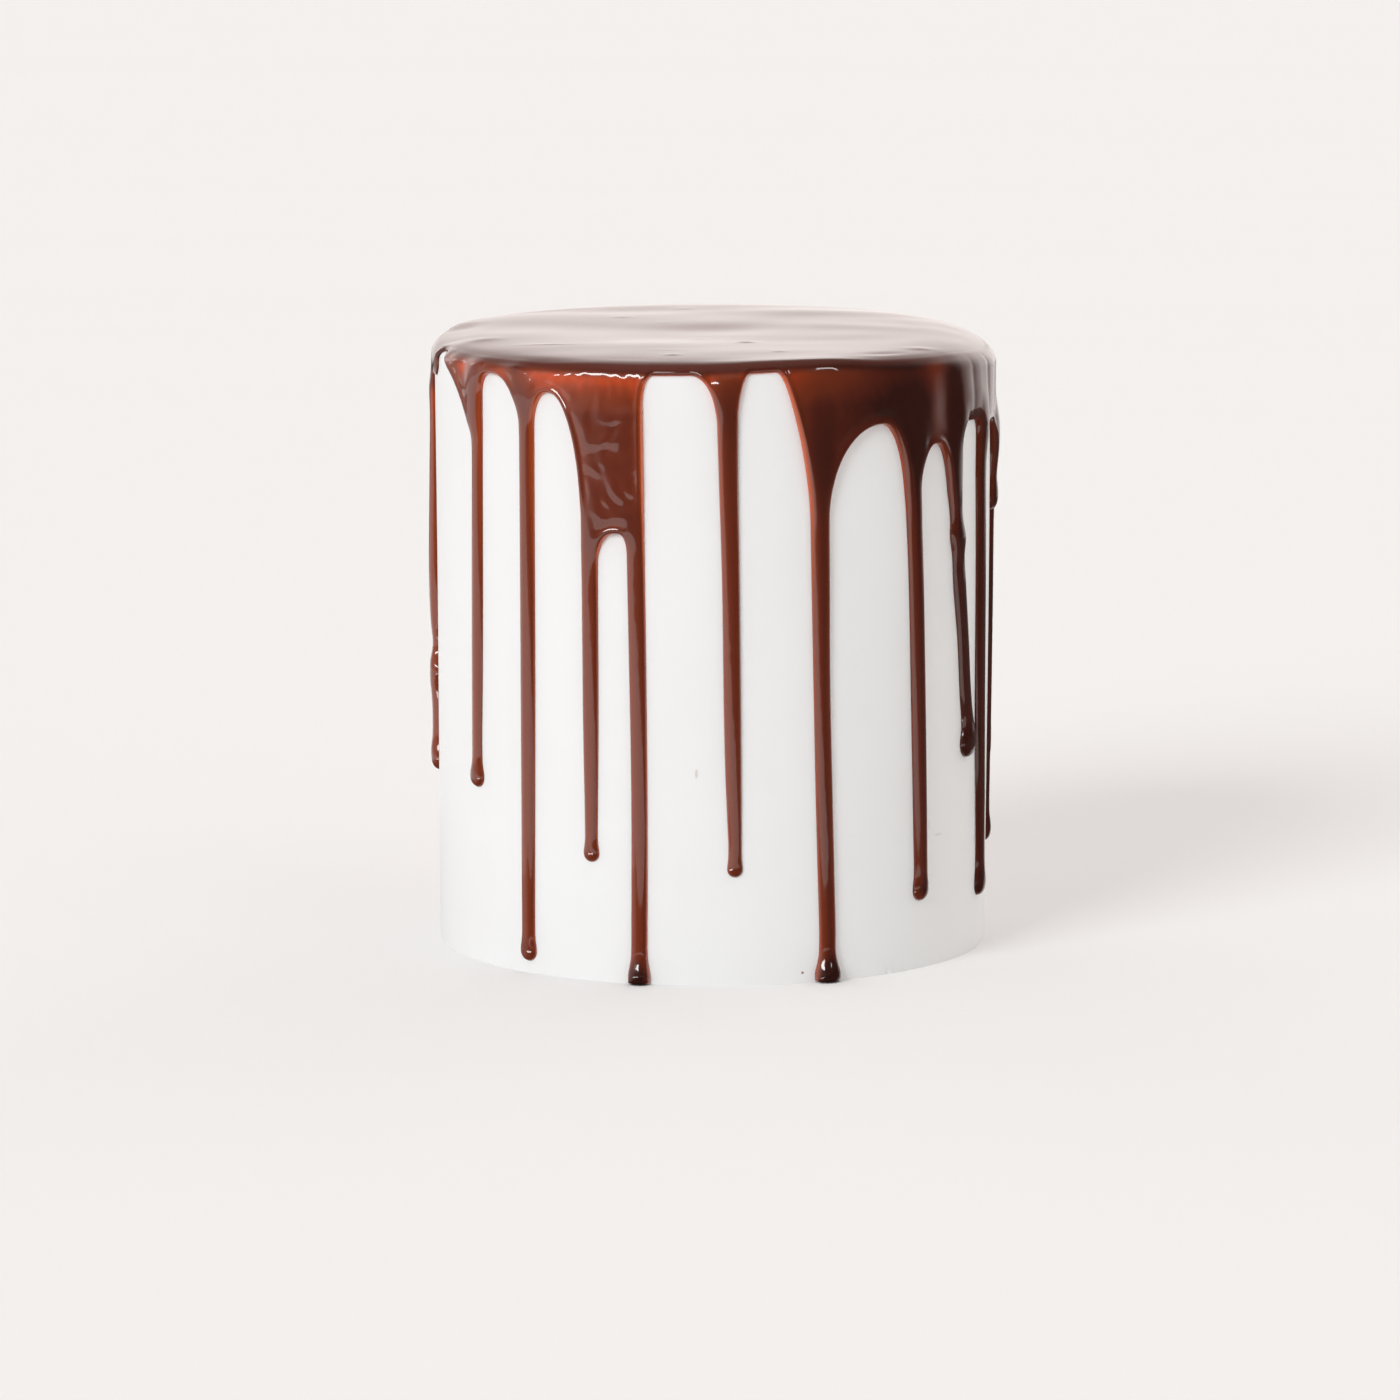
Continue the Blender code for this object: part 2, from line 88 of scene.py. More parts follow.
RUNS = [
    (
        Drip((
            (0.16, -91.4, 0.0019), (0.143, -91.6, 0.0022), (0.122, -92.1, 0.0028), (0.086, -92.1, 0.0029),
            (0.0778, -92.1, 0.0023), (0.0733, -92.1, 0.0041), (0.0675, -92.1, 0.003),
            (0.054, -92.1, 0.0025),
        ), 0.045, 0.0037),
        Opening(-89.0, -88.4, 0.1582, 0.005, 0.0022, 2.0),
    ),
    (
        Drip(((0.162, -81.8, 0.0056), (0.1585, -81.7, 0.0056)), 0.155, 0.005),
        Opening(-76.0, -73.8, 0.1624, 0.0035, 0.022, 1.6),
    ),
    (
        Drip(((0.144, -55.9, 0.00218), (0.085, -56.7, 0.00223), (0.06, -57.2, 0.002)), 0.0475, 0.00285),
        Opening(-51.4, -50.5, 0.1597, 0.006, 0.013, 2.0),
    ),
    (
        Drip(((0.146, -40.6, 0.0025), (0.074, -40.8, 0.00239), (0.016, -41.1, 0.00218)), 0.0032, 0.0027),
        Opening(-35.2, -34.6, 0.1559, 0.009, 0.034, 2.0),
    ),
    (
        Drip(((0.113, -25.6, 0.00239), (0.062, -25.5, 0.0022), (0.041, -25.5, 0.00188)), 0.032, 0.00231),
        Opening(-20.0, -19.0, 0.1198, 0.008, 0.005, 2.0),
    ),
    (
        Drip((
            (0.162, -16.2, 0.0025), (0.113, -15.7, 0.00247), (0.047, -15.1, 0.00225),
            (0.008, -15.2, 0.00225),
        ), 0.0, 0.0031),
        Opening(-12.2, -4.7, 0.1616, 0.008, 0.013, 2.0),
    ),
    (
        Drip((
            (0.153, 2.8, 0.0029), (0.136, 3.0, 0.00261), (0.114, 3.4, 0.00241), (0.054, 4.1, 0.00214),
            (0.038, 4.4, 0.00182),
        ), 0.0291, 0.00212),
        Opening(7.1, 12.6, 0.1614, 0.01, 0.038, 1.6),
    ),
    (
        Drip((
            (0.162, 21.2, 0.0027), (0.113, 22.0, 0.00262), (0.081, 22.4, 0.0024), (0.046, 23.1, 0.00245),
            (0.014, 23.9, 0.0024),
        ), 0.0, 0.0036),
        Opening(35.2, 35.8, 0.1475, 0.024, 0.025, 2.0),
    ),
    (
        Drip((
            (0.129, 44.4, 0.00269), (0.111, 45.3, 0.0026), (0.073, 46.5, 0.00253), (0.028, 47.7, 0.0024),
        ), 0.0184, 0.00285),
        Opening(50.2, 51.4, 0.1407, 0.011, 0.024, 2.0),
    ),
    (
        Drip((
            (0.1275, 58.4, 0.00276), (0.119, 59.1, 0.00262), (0.1148, 59.6, 0.0033),
            (0.11, 60.0, 0.00262), (0.103, 60.6, 0.00268), (0.086, 62.7, 0.00246), (0.07, 64.2, 0.00255),
            (0.062, 65.4, 0.0027),
        ), 0.054, 0.0039),
        Opening(63.8, 67.4, 0.145, 0.006, 0.005, 2.2),
    ),
    (
        Drip((
            (0.13, 71.3, 0.0027), (0.117, 71.8, 0.00265), (0.052, 72.9, 0.00265), (0.026, 74.0, 0.0026),
        ), 0.0144, 0.00324),
        Opening(78.5, 80.5, 0.143, 0.01, 0.012, 2.0),
    ),
    (
        Drip(((0.15, 88.3, 0.0028), (0.137, 88.5, 0.0035), (0.126, 89.1, 0.0025)), 0.117, 0.0036),
        Opening(91.9, 92.1, 0.139, 0.005, 0.005, 2.0),
    ),
    (
        Drip(((0.15, 94.5, 0.0022), (0.09, 94.8, 0.0022), (0.036, 95.0, 0.0019)), 0.0245, 0.00285),
        Opening(101.0, 104.0, 0.15, 0.016, 0.014, 2.0),
    ),
    (
        Drip(((0.15, 110.0, 0.0025), (0.08, 111.0, 0.0022)), 0.066, 0.0028),
        Opening(115.5, 118.0, 0.147, 0.017, 0.021, 2.0),
    ),
    (
        Drip(((0.15, 124.6, 0.0027), (0.09, 125.8, 0.0025), (0.025, 126.5, 0.0023)), 0.012, 0.0031),
        Opening(129.5, 137.0, 0.1617, 0.024, 0.012, 1.8),
    ),
    (
        Drip(((0.15, 141.5, 0.0024), (0.1, 141.0, 0.0021)), 0.089, 0.0027),
        Opening(145.8, 148.0, 0.156, 0.011, 0.026, 2.0),
    ),
    (
        Drip(((0.145, 156.1, 0.0027), (0.09, 156.7, 0.0024), (0.048, 157.0, 0.0022)), 0.037, 0.0029),
        Opening(161.0, 162.5, 0.136, 0.014, 0.018, 2.0),
    ),
    (
        Drip(((0.15, 167.9, 0.0026), (0.08, 167.4, 0.0023), (0.01, 167.0, 0.0023)), 0.0, 0.0032),
        Opening(173.0, 181.5, 0.1618, 0.022, 0.01, 2.0),
    ),
    (
        Drip(((0.15, 186.6, 0.0024), (0.1, 187.5, 0.0021), (0.07, 188.0, 0.002)), 0.058, 0.0026),
        Opening(191.5, 194.0, 0.158, 0.009, 0.018, 2.0),
    ),
    (
        Drip(((0.14, 201.4, 0.0026), (0.09, 200.8, 0.0025), (0.035, 200.5, 0.0022)), 0.022, 0.003),
        Opening(207.5, 208.5, 0.151, 0.022, 0.03, 1.9),
    ),
    (
        Drip(((0.13, 216.0, 0.0024), (0.09, 216.0, 0.0021)), 0.075, 0.0027),
        Opening(220.5, 222.0, 0.13, 0.01, 0.009, 2.0),
    ),
    (
        Drip(((0.145, 226.4, 0.0026), (0.08, 225.8, 0.0023), (0.02, 225.5, 0.0021)), 0.008, 0.0028),
        Opening(231.5, 239.0, 0.1618, 0.016, 0.014, 1.8),
    ),
    (
        Drip(((0.145, 244.6, 0.0025), (0.09, 245.1, 0.0024), (0.052, 245.5, 0.0021)), 0.04, 0.0028),
        Opening(250.5, 254.5, 0.159, 0.012, 0.016, 2.0),
    ),
]
SEAM = 252.5

# The mesh of the chocolate
FINE_STEP = 0.0004
LONG_STEP = 0.0009
BULB_TURN = 7.0
NECK = 3
FLANK_STEPS = 12
RING_DEPTHS = (0.00004, 0.00014, 0.00032, 0.00060, 0.00100, 0.00150, 0.00210)
RING_SHARE = 0.93
FIELD_STEP = 0.00075
FIELD_MARGIN = 0.00245
POOL_STEP = 0.0011
TOP_POINTS = 640
COARSE_STEP = 0.004
COARSE_POOL_STEP = 0.009
SAME_POINT = 1e-9
NO_AREA = 1e-14
POOL_DISTANCE = 0.01
RELAX_STEPS = 400
RELAX_ERROR = 1e-10
MOST_TENSION = (-5.0, 50.0)

# The close rows of points along the lip: from and to which climb, how far apart, and the step along a row
LIP_ROWS = (0.1606, 0.1648, 0.00020)
LIP_ROW_STEP = 0.0007

# Arcs of the cake, in degrees: from and to where each sets in, and from and to where it ends.
# The arcs at the left count towards -X, and the soft one counts both ways
SHEET_ARC = (-76.0, -66.0, 50.0, 62.0)
FILM_ARC = (-44.0, -38.0, 46.0, 56.0)
RELIEF_ARC = (-64.0, -54.0, 36.0, 48.0)
LIP_ARC = (-57.0, -48.0, 40.0, 54.0)
# The next two arcs hold the painted shade on the right side of the chocolate
PAINTED_SHADE_ARC = (12.0, 40.0, 110.0, 160.0)
RIGHT_SHADE_ARC = (48.0, 60.0, 110.0, 160.0)
NO_BEAD_ARC = (57.0, 61.0, 76.0, 86.0)
LEFT_ARC = (71.0, 78.0, 110.0, 150.0)
LEAF_ARC = (72.0, 82.0, 100.0, 112.0)
SOFT_ARC = (24.0, 39.0, 76.0, 98.0)

# How thick the pool lies, and how it thins towards its rim
POOL_THICKNESS = 0.0034
RIM_CLIMB = (0.1617, 0.1628)
RIM_FALL = 0.0011
RIM_LENGTH = 0.0060
RIM_REACH = 0.0012
SOFT_FALL = 0.0006
SOFT_LENGTH = 0.0024
# Where the rim falls further: azimuth, spread, how much. And less: from and to which turn, how much
RIM_FALLS_MORE = (-50.0, 20.0, 0.4)
RIM_FALLS_LESS = (90.0, 120.0, 0.6)
# Where the rim is longer: azimuth, spread, how much
RIM_LONGER = ((-46.0, 20.0, 0.7), (66.0, 30.0, 0.8), (-66.0, 24.0, 0.56))
LIP_CURL = 0.0002
LIP_CURL_CLIMB = (0.1626, 0.0005)
LIP_CURL_MARGIN = (0.0002, 0.0012)
WAVES_CLIMB = (FLAT_START + 0.001, FLAT_START + 0.006)

# The thin edge at the left
LEAF_THINNER = 0.55
LEAF_CLIMB = (0.150, 0.156)
LEAF_LENGTH = 0.012

# How thick the sheet between the drips lies: at the front, at the back, and as a film below the lip
SHEET_THICKNESS = 0.0022
BACK_THICKNESS = 0.0015
FILM_THICKNESS = 0.0012
FILM_TOP = 0.1618
FILM_LENGTH = 0.011
FILM_LENGTH_RIGHT = 0.009
FILM_LENGTH_TURN = (5.0, 20.0)
# Thin patches between the drips: azimuth, spread in degrees, height and spread in metres
FILM_PATCHES = ((-60.5, 3.0, 0.1600, 0.0040), (-47.8, 3.4, 0.1590, 0.0042))

# The bead along the edge of a sheet, and the groove behind it: how far in each lies, and its spread
BEAD = (0.0009, 0.0006)
BEAD_THICKNESS = 0.0022
BEAD_RISE = 0.0006
BEAD_LESS = 0.85
GROOVE = (0.0021, 0.0007)
GROOVE_DEPTH = 0.0006
GROOVE_SHEET = (0.0008, 0.0020)

# How far a drip stands out, by its half width, and at most
DRIP_RISE = 0.80
MOST_RISE = 0.0027
DRIP_REACH = 2.0
NARROW_REACH = 1.15
NARROW_POWER = 4
MIXED_BELOW = 0.005
MIXED_ABOVE = 0.004
DRIP_FADE_BELOW = 0.002
DRIP_FADE_ABOVE = 0.012
DRIP_FADE_TOP = 0.1615
FOOT_BULGE = (0.0022, 0.0032)

# How far the surface tension spreads each part
RUN_SPREAD = 0.0016
SHEET_SPREAD = 0.0006
LIP_SPREAD = 0.0006

# The uneven surface of the sheets
RELIEF = 0.00014
RELIEF_MARGIN = (0.0006, 0.0030)
RELIEF_TOP = (0.1605, 0.1625)
DRIP_CALM = 0.85

# How far the chocolate reaches into the frosting, at its edge and inside
CONTACT_DEPTH = 0.00012
INNER_DEPTH = 0.0005

# How much deeper or clearer than it lies the chocolate looks, and where. Part of the extra depth is painted
# shade: on the right side, along the lip and on the bulbs
POOL_DEPTH = 0.0026
POOL_DEPTH_WAVES = 0.3
POOL_DEPTH_CLIMB = (0.1617, 0.1630)
INNER_COLOUR_DEPTH = 0.002
FILM_CLEAR = 0.0008
FILM_CLEAR_TOP = (0.1611, 0.1620)
FILM_CLEAR_TURN = (6.0, 38.0)
# Painted shade on the right side of the chocolate, as extra depth, weaker near its edges
PAINTED_SHADE = 0.0008
SHADE_AT_EDGE = 0.4
SHADE_MARGIN = (0.0012, 0.0026)
SHADE_AND_TONE_THICKNESS = (0.0003, 0.0012)
# Less painted shade on the folds of the apron
FOLD_TURN = (58.0, 61.5)
FOLD_CLIMB = (0.140, 0.147)
FOLD_LESS_SHADE = 0.8
# More painted shade round 43 degrees on the right side
DARK_DEPTH = 0.0007
DARK_TURN = (43.0, 9.0)
DARK_CLIMB = (0.135, 0.150)
# Less painted shade in a pale band
PALE_BAND = 0.9
PALE_TURN = (51.0, 3.4)
PALE_CLIMB = (0.139, 0.146)
SIDE_DEPTH = 0.0010
SIDE_CLIMB = (0.146, 0.153)
# How many times the edge depth the sides take at least: painted shade on the right side, and a darker top
# on the left side
SIDE_SHADE_AND_TONE = 1.8
RUN_CLEAR = 0.0002
# Painted shade along the lip, as extra depth
LIP_SHADE = 0.0009
LIP_SHADE_CLIMB = (0.1624, 0.0012)
EDGE_DEPTH = 0.0016
# Painted shade on the bulbs and feet, as extra depth
BULB_SHADE = 0.0002
BULB_REACH = (1.6, 2.8)
FLOW_DEPTH = 0.0001
FLOW_FINER = 1.3

# The light through the thin edge: how wide low down and high up, and where it is strong
GLOW_LOW = 0.00035
GLOW_HIGH = 0.0009
GLOW_CLIMB = (0.095, 0.140)
GLOW_TURN = (-12.0, 38.0)
GLOW_EVERYWHERE = 0.10
GLOW_TOWARD = 0.85
GLOW_CORE = 0.35
GLOW_FULL_TURN = 12.0
GLOW_LOW_SHARE = 0.45


def share(value, first, last):
    """0 at first and 1 at last, with no kink at either. It takes numbers or arrays."""
    part = np.clip((value - first) / (last - first), 0.0, 1.0)
    return part * part * (3 - 2 * part)


def bump(value, middle, spread):
    """A smooth bump of height 1 at the middle."""
    return np.exp(-(((value - middle) / spread) ** 2))


def between(value, bounds):
    """0 outside the bounds of an arc and 1 inside, with soft sides."""
    rise_from, rise_to, fall_from, fall_to = bounds
    return share(value, rise_from, rise_to) * (1 - share(value, fall_from, fall_to))


def turn_between(azimuth, middle):
    """The signed turn from a middle to an azimuth, in degrees, within half a turn."""
    return (azimuth - middle + 180.0) % 360.0 - 180.0


def smooth_line(stations, heights):
    """Values at heights on a smooth curve through (height, value) stations, which run downwards."""
    known = np.array(stations, float)[::-1]
    places, values = known[:, 0], known[:, 1]
    heights = np.clip(heights, places[0], places[-1])
    slopes = np.gradient(values, places)
    at = np.clip(np.searchsorted(places, heights) - 1, 0, len(places) - 2)
    span = places[at + 1] - places[at]
    part = (heights - places[at]) / span
    first = (1 + 2 * part) * (1 - part) ** 2 * values[at] + part * (1 - part) ** 2 * span * slopes[at]
    last = part**2 * (3 - 2 * part) * values[at + 1] + part**2 * (part - 1) * span * slopes[at + 1]
    return first + last


def drip_azimuth(drip, heights):
    """The azimuth of a drip's middle line at heights."""
    return smooth_line([(height, azimuth) for height, azimuth, _ in drip.stations], heights)


def drip_half_width(drip, heights):
    """A drip's half width at heights: a bulb at the tip, or a flared foot at the base, under the run."""
    heights = np.asarray(heights, float)
    run = smooth_line([(height, half) for height, _, half in drip.stations], heights)
    above = np.maximum(heights - drip.end, 0.0)
    if drip.end == 0.0:
        return run + (drip.bulb - drip.stations[-1][2]) * bump(above, FOOT_WIDEST, FOOT_FLARE)
    low = np.sqrt(np.maximum(drip.bulb**2 - (drip.bulb - above) ** 2, 0.0))
    high = run + (drip.bulb - drip.stations[-1][2]) * bump(above, drip.bulb, drip.bulb)
    high = np.where(above < BULB_JOIN * drip.bulb, np.maximum(high, 0.0), run)
    return np.where(above < drip.bulb, low, high)


def climb_at(heights):
    """The climb to a height on the wall or the rounded top edge."""
    heights = np.asarray(heights, float)
    over = np.arcsin(np.clip((heights - ROUND_START) / EDGE_ROUND, 0.0, 1.0))
    return np.where(heights > ROUND_START, ROUND_START + EDGE_ROUND * over, heights)


def across(azimuth):
    """The flattened wall's sideways coordinate at an azimuth."""
    return np.radians(azimuth) * TOP_RADIUS


def evenly(first, last, step):
    """Evenly spaced values from first to last, both included."""
    return np.linspace(first, last, max(2, int(ceil(abs(last - first) / step)) + 1))


def side_edge(drip, side, foot):
    """Points of (azimuth, height) up the -X or +X edge of a drip, from its lower end to a flank's foot."""
    if drip.end == 0.0:
        heights = evenly(FOOT_CLEARANCE, foot, LONG_STEP)
    else:
        turns = np.radians(np.arange(0.0, 90.0, BULB_TURN))
        low = drip.end + drip.bulb * (1 - np.cos(turns))
        widest = drip.end + drip.bulb
        neck = drip.end + NECK * drip.bulb
        middle = evenly(widest, min(neck, foot), FINE_STEP) if foot > widest else []
        high = evenly(neck, foot, LONG_STEP)[1:] if foot > neck else []
        heights = np.concatenate([low[low < foot - FINE_STEP / 2], middle, high])
        if heights[-1] < foot - FINE_STEP / 10:
            heights = np.append(heights, foot)
    half = np.degrees(drip_half_width(drip, heights) / TOP_RADIUS)
    return np.column_stack([drip_azimuth(drip, heights) + side * half, heights])


def flank_edge(drip, opening, side):
    """Points of (azimuth, height) from the foot of an opening's flank beside a drip up to its crest."""
    crest = opening.start if side > 0 else opening.stop
    fall = opening.left_fall if side > 0 else opening.right_fall
    steps = max(FLANK_STEPS, int(fall / FINE_STEP))
    angles = np.linspace(pi / 2, 0.0, steps + 1)
    heights = opening.height - fall * (1 - np.maximum(np.cos(angles), 0.0) ** (2 / opening.power))
    half = np.degrees(drip_half_width(drip, heights) / TOP_RADIUS)
    edge = drip_azimuth(drip, heights) + side * half
    azimuths = crest + (edge - crest) * np.sin(angles) ** (2 / opening.power)
    return np.column_stack([azimuths, heights])


def opening_half(index, opening, side):
    """Points of (azimuth, height) from a drip's tip up to the crest of the opening beside it."""
    drip = RUNS[index][0]
    flank = flank_edge(drip, opening, side)
    return np.vstack([side_edge(drip, side, flank[0, 1])[:-1], flank])


def thin_out(points, spacing):
    """The points less those that are closer than spacing to the one before."""
    kept = [points[0]]
    for point in points[1:]:
        if np.hypot(*(point - kept[-1])) > spacing:
            kept.append(point)
    return np.array(kept)


def chocolate_edge():
    """The lower edge of the chocolate on the flattened wall, and which of its points lie on the base.

    It runs from the seam over every drip and opening in turn and back to the seam.
    """
    pieces = []
    feet = []
    last = len(RUNS) - 1
    for index in range(-1, len(RUNS)):
        opening = RUNS[index][1]
        if index < 0:
            opening = opening._replace(start=opening.start - 360.0, stop=opening.stop - 360.0)
            left = np.array([(SEAM - 360.0, opening.height)])
        else:
            left = opening_half(index, opening, 1)
        if index == last:
            right = np.array([(SEAM, opening.height)])
        else:
            right = opening_half(index + 1, opening, -1)[::-1]
        crest = evenly(left[-1, 0], right[0, 0], np.degrees(FINE_STEP / TOP_RADIUS))
        top = np.column_stack([crest, np.full(len(crest), opening.height)])[1:-1]
        whole = np.vstack([left, top, right])
        flat = np.column_stack([across(whole[:, 0]), climb_at(whole[:, 1])])
        flat = thin_out(flat, FINE_STEP / 4)
        if index >= 0 and RUNS[index][0].end > 0.0:
            flat = flat[1:]
        pieces.append(flat)
        feet.append(np.zeros(len(flat), bool))
        if index < last and RUNS[index + 1][0].end == 0.0:
            drip = RUNS[index + 1][0]
            middle = across(drip_azimuth(drip, FOOT_CLEARANCE))
            half = float(drip_half_width(drip, FOOT_CLEARANCE))
            base = evenly(middle - half, middle + half, FINE_STEP)
            pieces.append(np.column_stack([base, np.full(len(base), FOOT_CLEARANCE)])[1:-1])
            feet.append(np.ones(len(base) - 2, bool))
    return np.vstack(pieces), np.concatenate(feet)


def edge_normals(edge):
    """Unit normals of the lower edge that point into the chocolate."""
    ahead = np.roll(edge, -1, axis=0) - np.roll(edge, 1, axis=0)
    ahead[0] = edge[1] - edge[0]
    ahead[-1] = edge[-1] - edge[-2]
    normals = np.column_stack([-ahead[:, 1], ahead[:, 0]])
    return normals / np.linalg.norm(normals, axis=1)[:, None]


def nearest_edge(edge, points):
    """For each point the index of the nearest point of the edge and the distance to it."""
    tree = KDTree(len(edge))
    for index, (x, y) in enumerate(edge.tolist()):
        tree.insert((x, y, 0.0), index)
    tree.balance()
    found = [tree.find((x, y, 0.0)) for x, y in points.tolist()]
    return np.array([item[1] for item in found]), np.array([item[2] for item in found])


def staggered(columns, rows, step):
    """Points in rows, every second row shifted by half a step."""
    shifts = step / 2 * (np.arange(len(rows)) % 2)
    placed = [(columns + shift, np.full(len(columns), row)) for row, shift in zip(rows, shifts)]
    return np.vstack([np.column_stack(line) for line in placed])


def hex_grid(low, high, step):
    """Points of a grid of equilateral triangles between two corners."""
    rows = np.arange(low[1], high[1], step * sin(pi / 3))
    columns = np.arange(low[0], high[0], step)
    return staggered(columns, rows, step)


def triangles_inside(points, loop):
    """Triangles of a closed loop, given as indices of points, with every point inside it used."""
    edges = [(loop[i], loop[(i + 1) % len(loop)]) for i in range(len(loop))]
    made = delaunay_2d_cdt([tuple(point) for point in points.tolist()], edges, [], 1, SAME_POINT)
    first = [sources[0] if sources else -1 for sources in made[3]]
    if min(first) < 0:
        raise ValueError("the edge of the chocolate crosses itself")
    faces = np.array([[first[i] for i in face] for face in made[2]])
    a, b, c = points[faces[:, 0]], points[faces[:, 1]], points[faces[:, 2]]
    turn = (b[:, 0] - a[:, 0]) * (c[:, 1] - a[:, 1]) - (b[:, 1] - a[:, 1]) * (c[:, 0] - a[:, 0])
    faces, turn = faces[np.abs(turn) > NO_AREA], turn[np.abs(turn) > NO_AREA]
    faces[turn < 0] = faces[turn < 0][:, ::-1]
    return faces


# The side of a point is 1 where the nearest edge is on its +X side, and -1 where it is on its -X side
Skin = namedtuple("Skin", "azimuth climb faces edge feet distance side")


def lip_rows(low, high):
    """Close rows of points along the lip, between two ends."""
    first, last, step = LIP_ROWS
    columns = np.arange(low + LIP_ROW_STEP, high - LIP_ROW_STEP / 2, LIP_ROW_STEP)
    return staggered(columns, np.arange(first, last, step), LIP_ROW_STEP)


def inner_points(edge, normals, firm, ring_depths, field_step, field_margin):
    """Points above the edge of the chocolate: rings that follow it closely, and a field further in."""
    low, high = edge[0, 0], edge[-1, 0]
    found = [np.zeros((0, 2))]
    for depth in ring_depths:
        ring = (edge + normals * depth)[firm]
        ring = ring[(ring[:, 0] > low + depth / 2) & (ring[:, 0] < high - depth / 2)]
        found.append(ring[nearest_edge(edge, ring)[1] > RING_SHARE * depth])
    first = (low + field_step, edge[:, 1].min() + field_step)
    field = hex_grid(first, (high - field_step / 2, POOL_START - field_step / 2), field_step)
    if ring_depths:
        margin = field_step / 3
        beside = (field[:, 1] > LIP_ROWS[0] - margin) & (field[:, 1] < LIP_ROWS[1] + margin)
        field = np.vstack([field[~beside], lip_rows(low, high)])
    where, apart = nearest_edge(edge, field)
    inward = np.einsum("ij,ij->i", field - edge[where], normals[where])
    found.append(field[(inward > 0) & (apart > field_margin)])
    return np.vstack(found)


def pool_disc(corner, pool_step):
    """The points inside the pool's disc, and its triangles, which count the corners of its rim first."""
    circle = POOL_RADIUS * np.column_stack([np.sin(corner), -np.cos(corner)])
    grid = hex_grid((-POOL_RADIUS, -POOL_RADIUS), (POOL_RADIUS, POOL_RADIUS), pool_step)
    grid = grid[np.hypot(grid[:, 0], grid[:, 1]) < POOL_RADIUS - pool_step / 2]
    return grid, triangles_inside(np.vstack([circle, grid]), list(range(len(circle))))


def chocolate_skin(edge, feet, ring_depths, field_step, field_margin, pool_step):
    """A triangle mesh over all the chocolate: an azimuth and a climb for each point, and the triangles.

    The first points are the lower edge, whose last point is its first, a whole turn further round.
    """
    count = len(edge)
    normals = edge_normals(edge)
    firm = ~feet
    low, high = edge[0, 0], edge[-1, 0]
    seam = evenly(edge[0, 1], POOL_START, FINE_STEP)[1:]
    rise = np.column_stack([np.full(len(seam), high), seam])
    drop = np.column_stack([np.full(len(seam), low), seam[::-1]])
    top = evenly(high, low, (high - low) / TOP_POINTS)[1:-1]
    rim = np.column_stack([top, np.full(len(top), POOL_START)])
    inner = inner_points(edge, normals, firm, ring_depths, field_step, field_margin)
    flat = np.vstack([edge, rise, rim, drop, inner])
    faces = triangles_inside(flat, list(range(len(flat) - len(inner))))
    # The two sides of the seam are the same points
    same = np.arange(len(flat))
    rise_end = count + len(rise) - 1
    drop_start = count + len(rise) + len(rim)
    same[drop_start : drop_start + len(drop)] = np.arange(rise_end, count - 1, -1)
    same[0] = count - 1
    # The pool's disc shares the points of the rim
    azimuth = np.degrees(flat[:, 0] / TOP_RADIUS)
    ring = np.arange(rise_end, drop_start)
    grid, disc = pool_disc(np.radians(azimuth[ring]), pool_step)
    number = np.concatenate([ring, np.arange(len(flat), len(flat) + len(grid))])
    azimuth = np.concatenate([azimuth, np.degrees(np.arctan2(grid[:, 0], -grid[:, 1]))])
    past = POOL_RADIUS - np.hypot(grid[:, 0], grid[:, 1])
    climb = np.concatenate([flat[:, 1], POOL_START + past])
    faces = np.vstack([same[faces], number[disc]])
    nearest, apart = nearest_edge(edge[firm], flat)
    distance = np.concatenate([apart, past + POOL_DISTANCE])
    side = np.concatenate([-normals[firm][nearest, 0], np.zeros(len(grid))])
    used = np.zeros(len(azimuth), bool)
    used[faces] = True
    used[:count] = True
    renumber = np.cumsum(used) - 1
    return Skin(azimuth[used], climb[used], renumber[faces], count, feet, distance[used], side[used])


def base_surface(azimuth, climb):
    """Points on the frosting, and the unit directions in which the chocolate rises from it."""
    over = np.clip((climb - ROUND_START) / EDGE_ROUND, 0.0, pi / 2)
    low = np.minimum(climb, ROUND_START)
    flat = np.maximum(climb - FLAT_START, 0.0)
    radius = BASE_RADIUS + (TOP_RADIUS - BASE_RADIUS) * low / CAKE_HEIGHT
    radius = radius - EDGE_ROUND * (1 - np.cos(over)) - flat
    height = low + EDGE_ROUND * np.sin(over)
    tilt = pi / 2 * (over / (pi / 2)) ** TILT_POWER
    turn = np.radians(azimuth)
    outward = np.column_stack([np.sin(turn), -np.cos(turn), np.zeros(len(turn))])
    upward = np.array([[0.0, 0.0, 1.0]])
    places = outward * radius[:, None] + upward * height[:, None]
    rises = outward * np.cos(tilt)[:, None] + upward * np.sin(tilt)[:, None]
    return places, rises


def settle(places):
    """Bends the top edge down or up where the shoulder of the cake stands lower or higher.

    The middle and the wall stay.
    """
    azimuth = np.degrees(np.arctan2(places[:, 0], -places[:, 1]))
    fall = 0.0
    for middle, depth, spread in EDGE_FALLS:
        fall = fall + depth * bump(turn_between(azimuth, middle), 0.0, spread)
    radius = np.hypot(places[:, 0], places[:, 1])
    outward = np.clip((radius - FALL_RADIUS) / (TOP_RADIUS - FALL_RADIUS), 0.0, 1.0) ** 2
    places[:, 2] -= fall * outward * share(places[:, 2], FALL_HEIGHT, CAKE_HEIGHT)
    return places


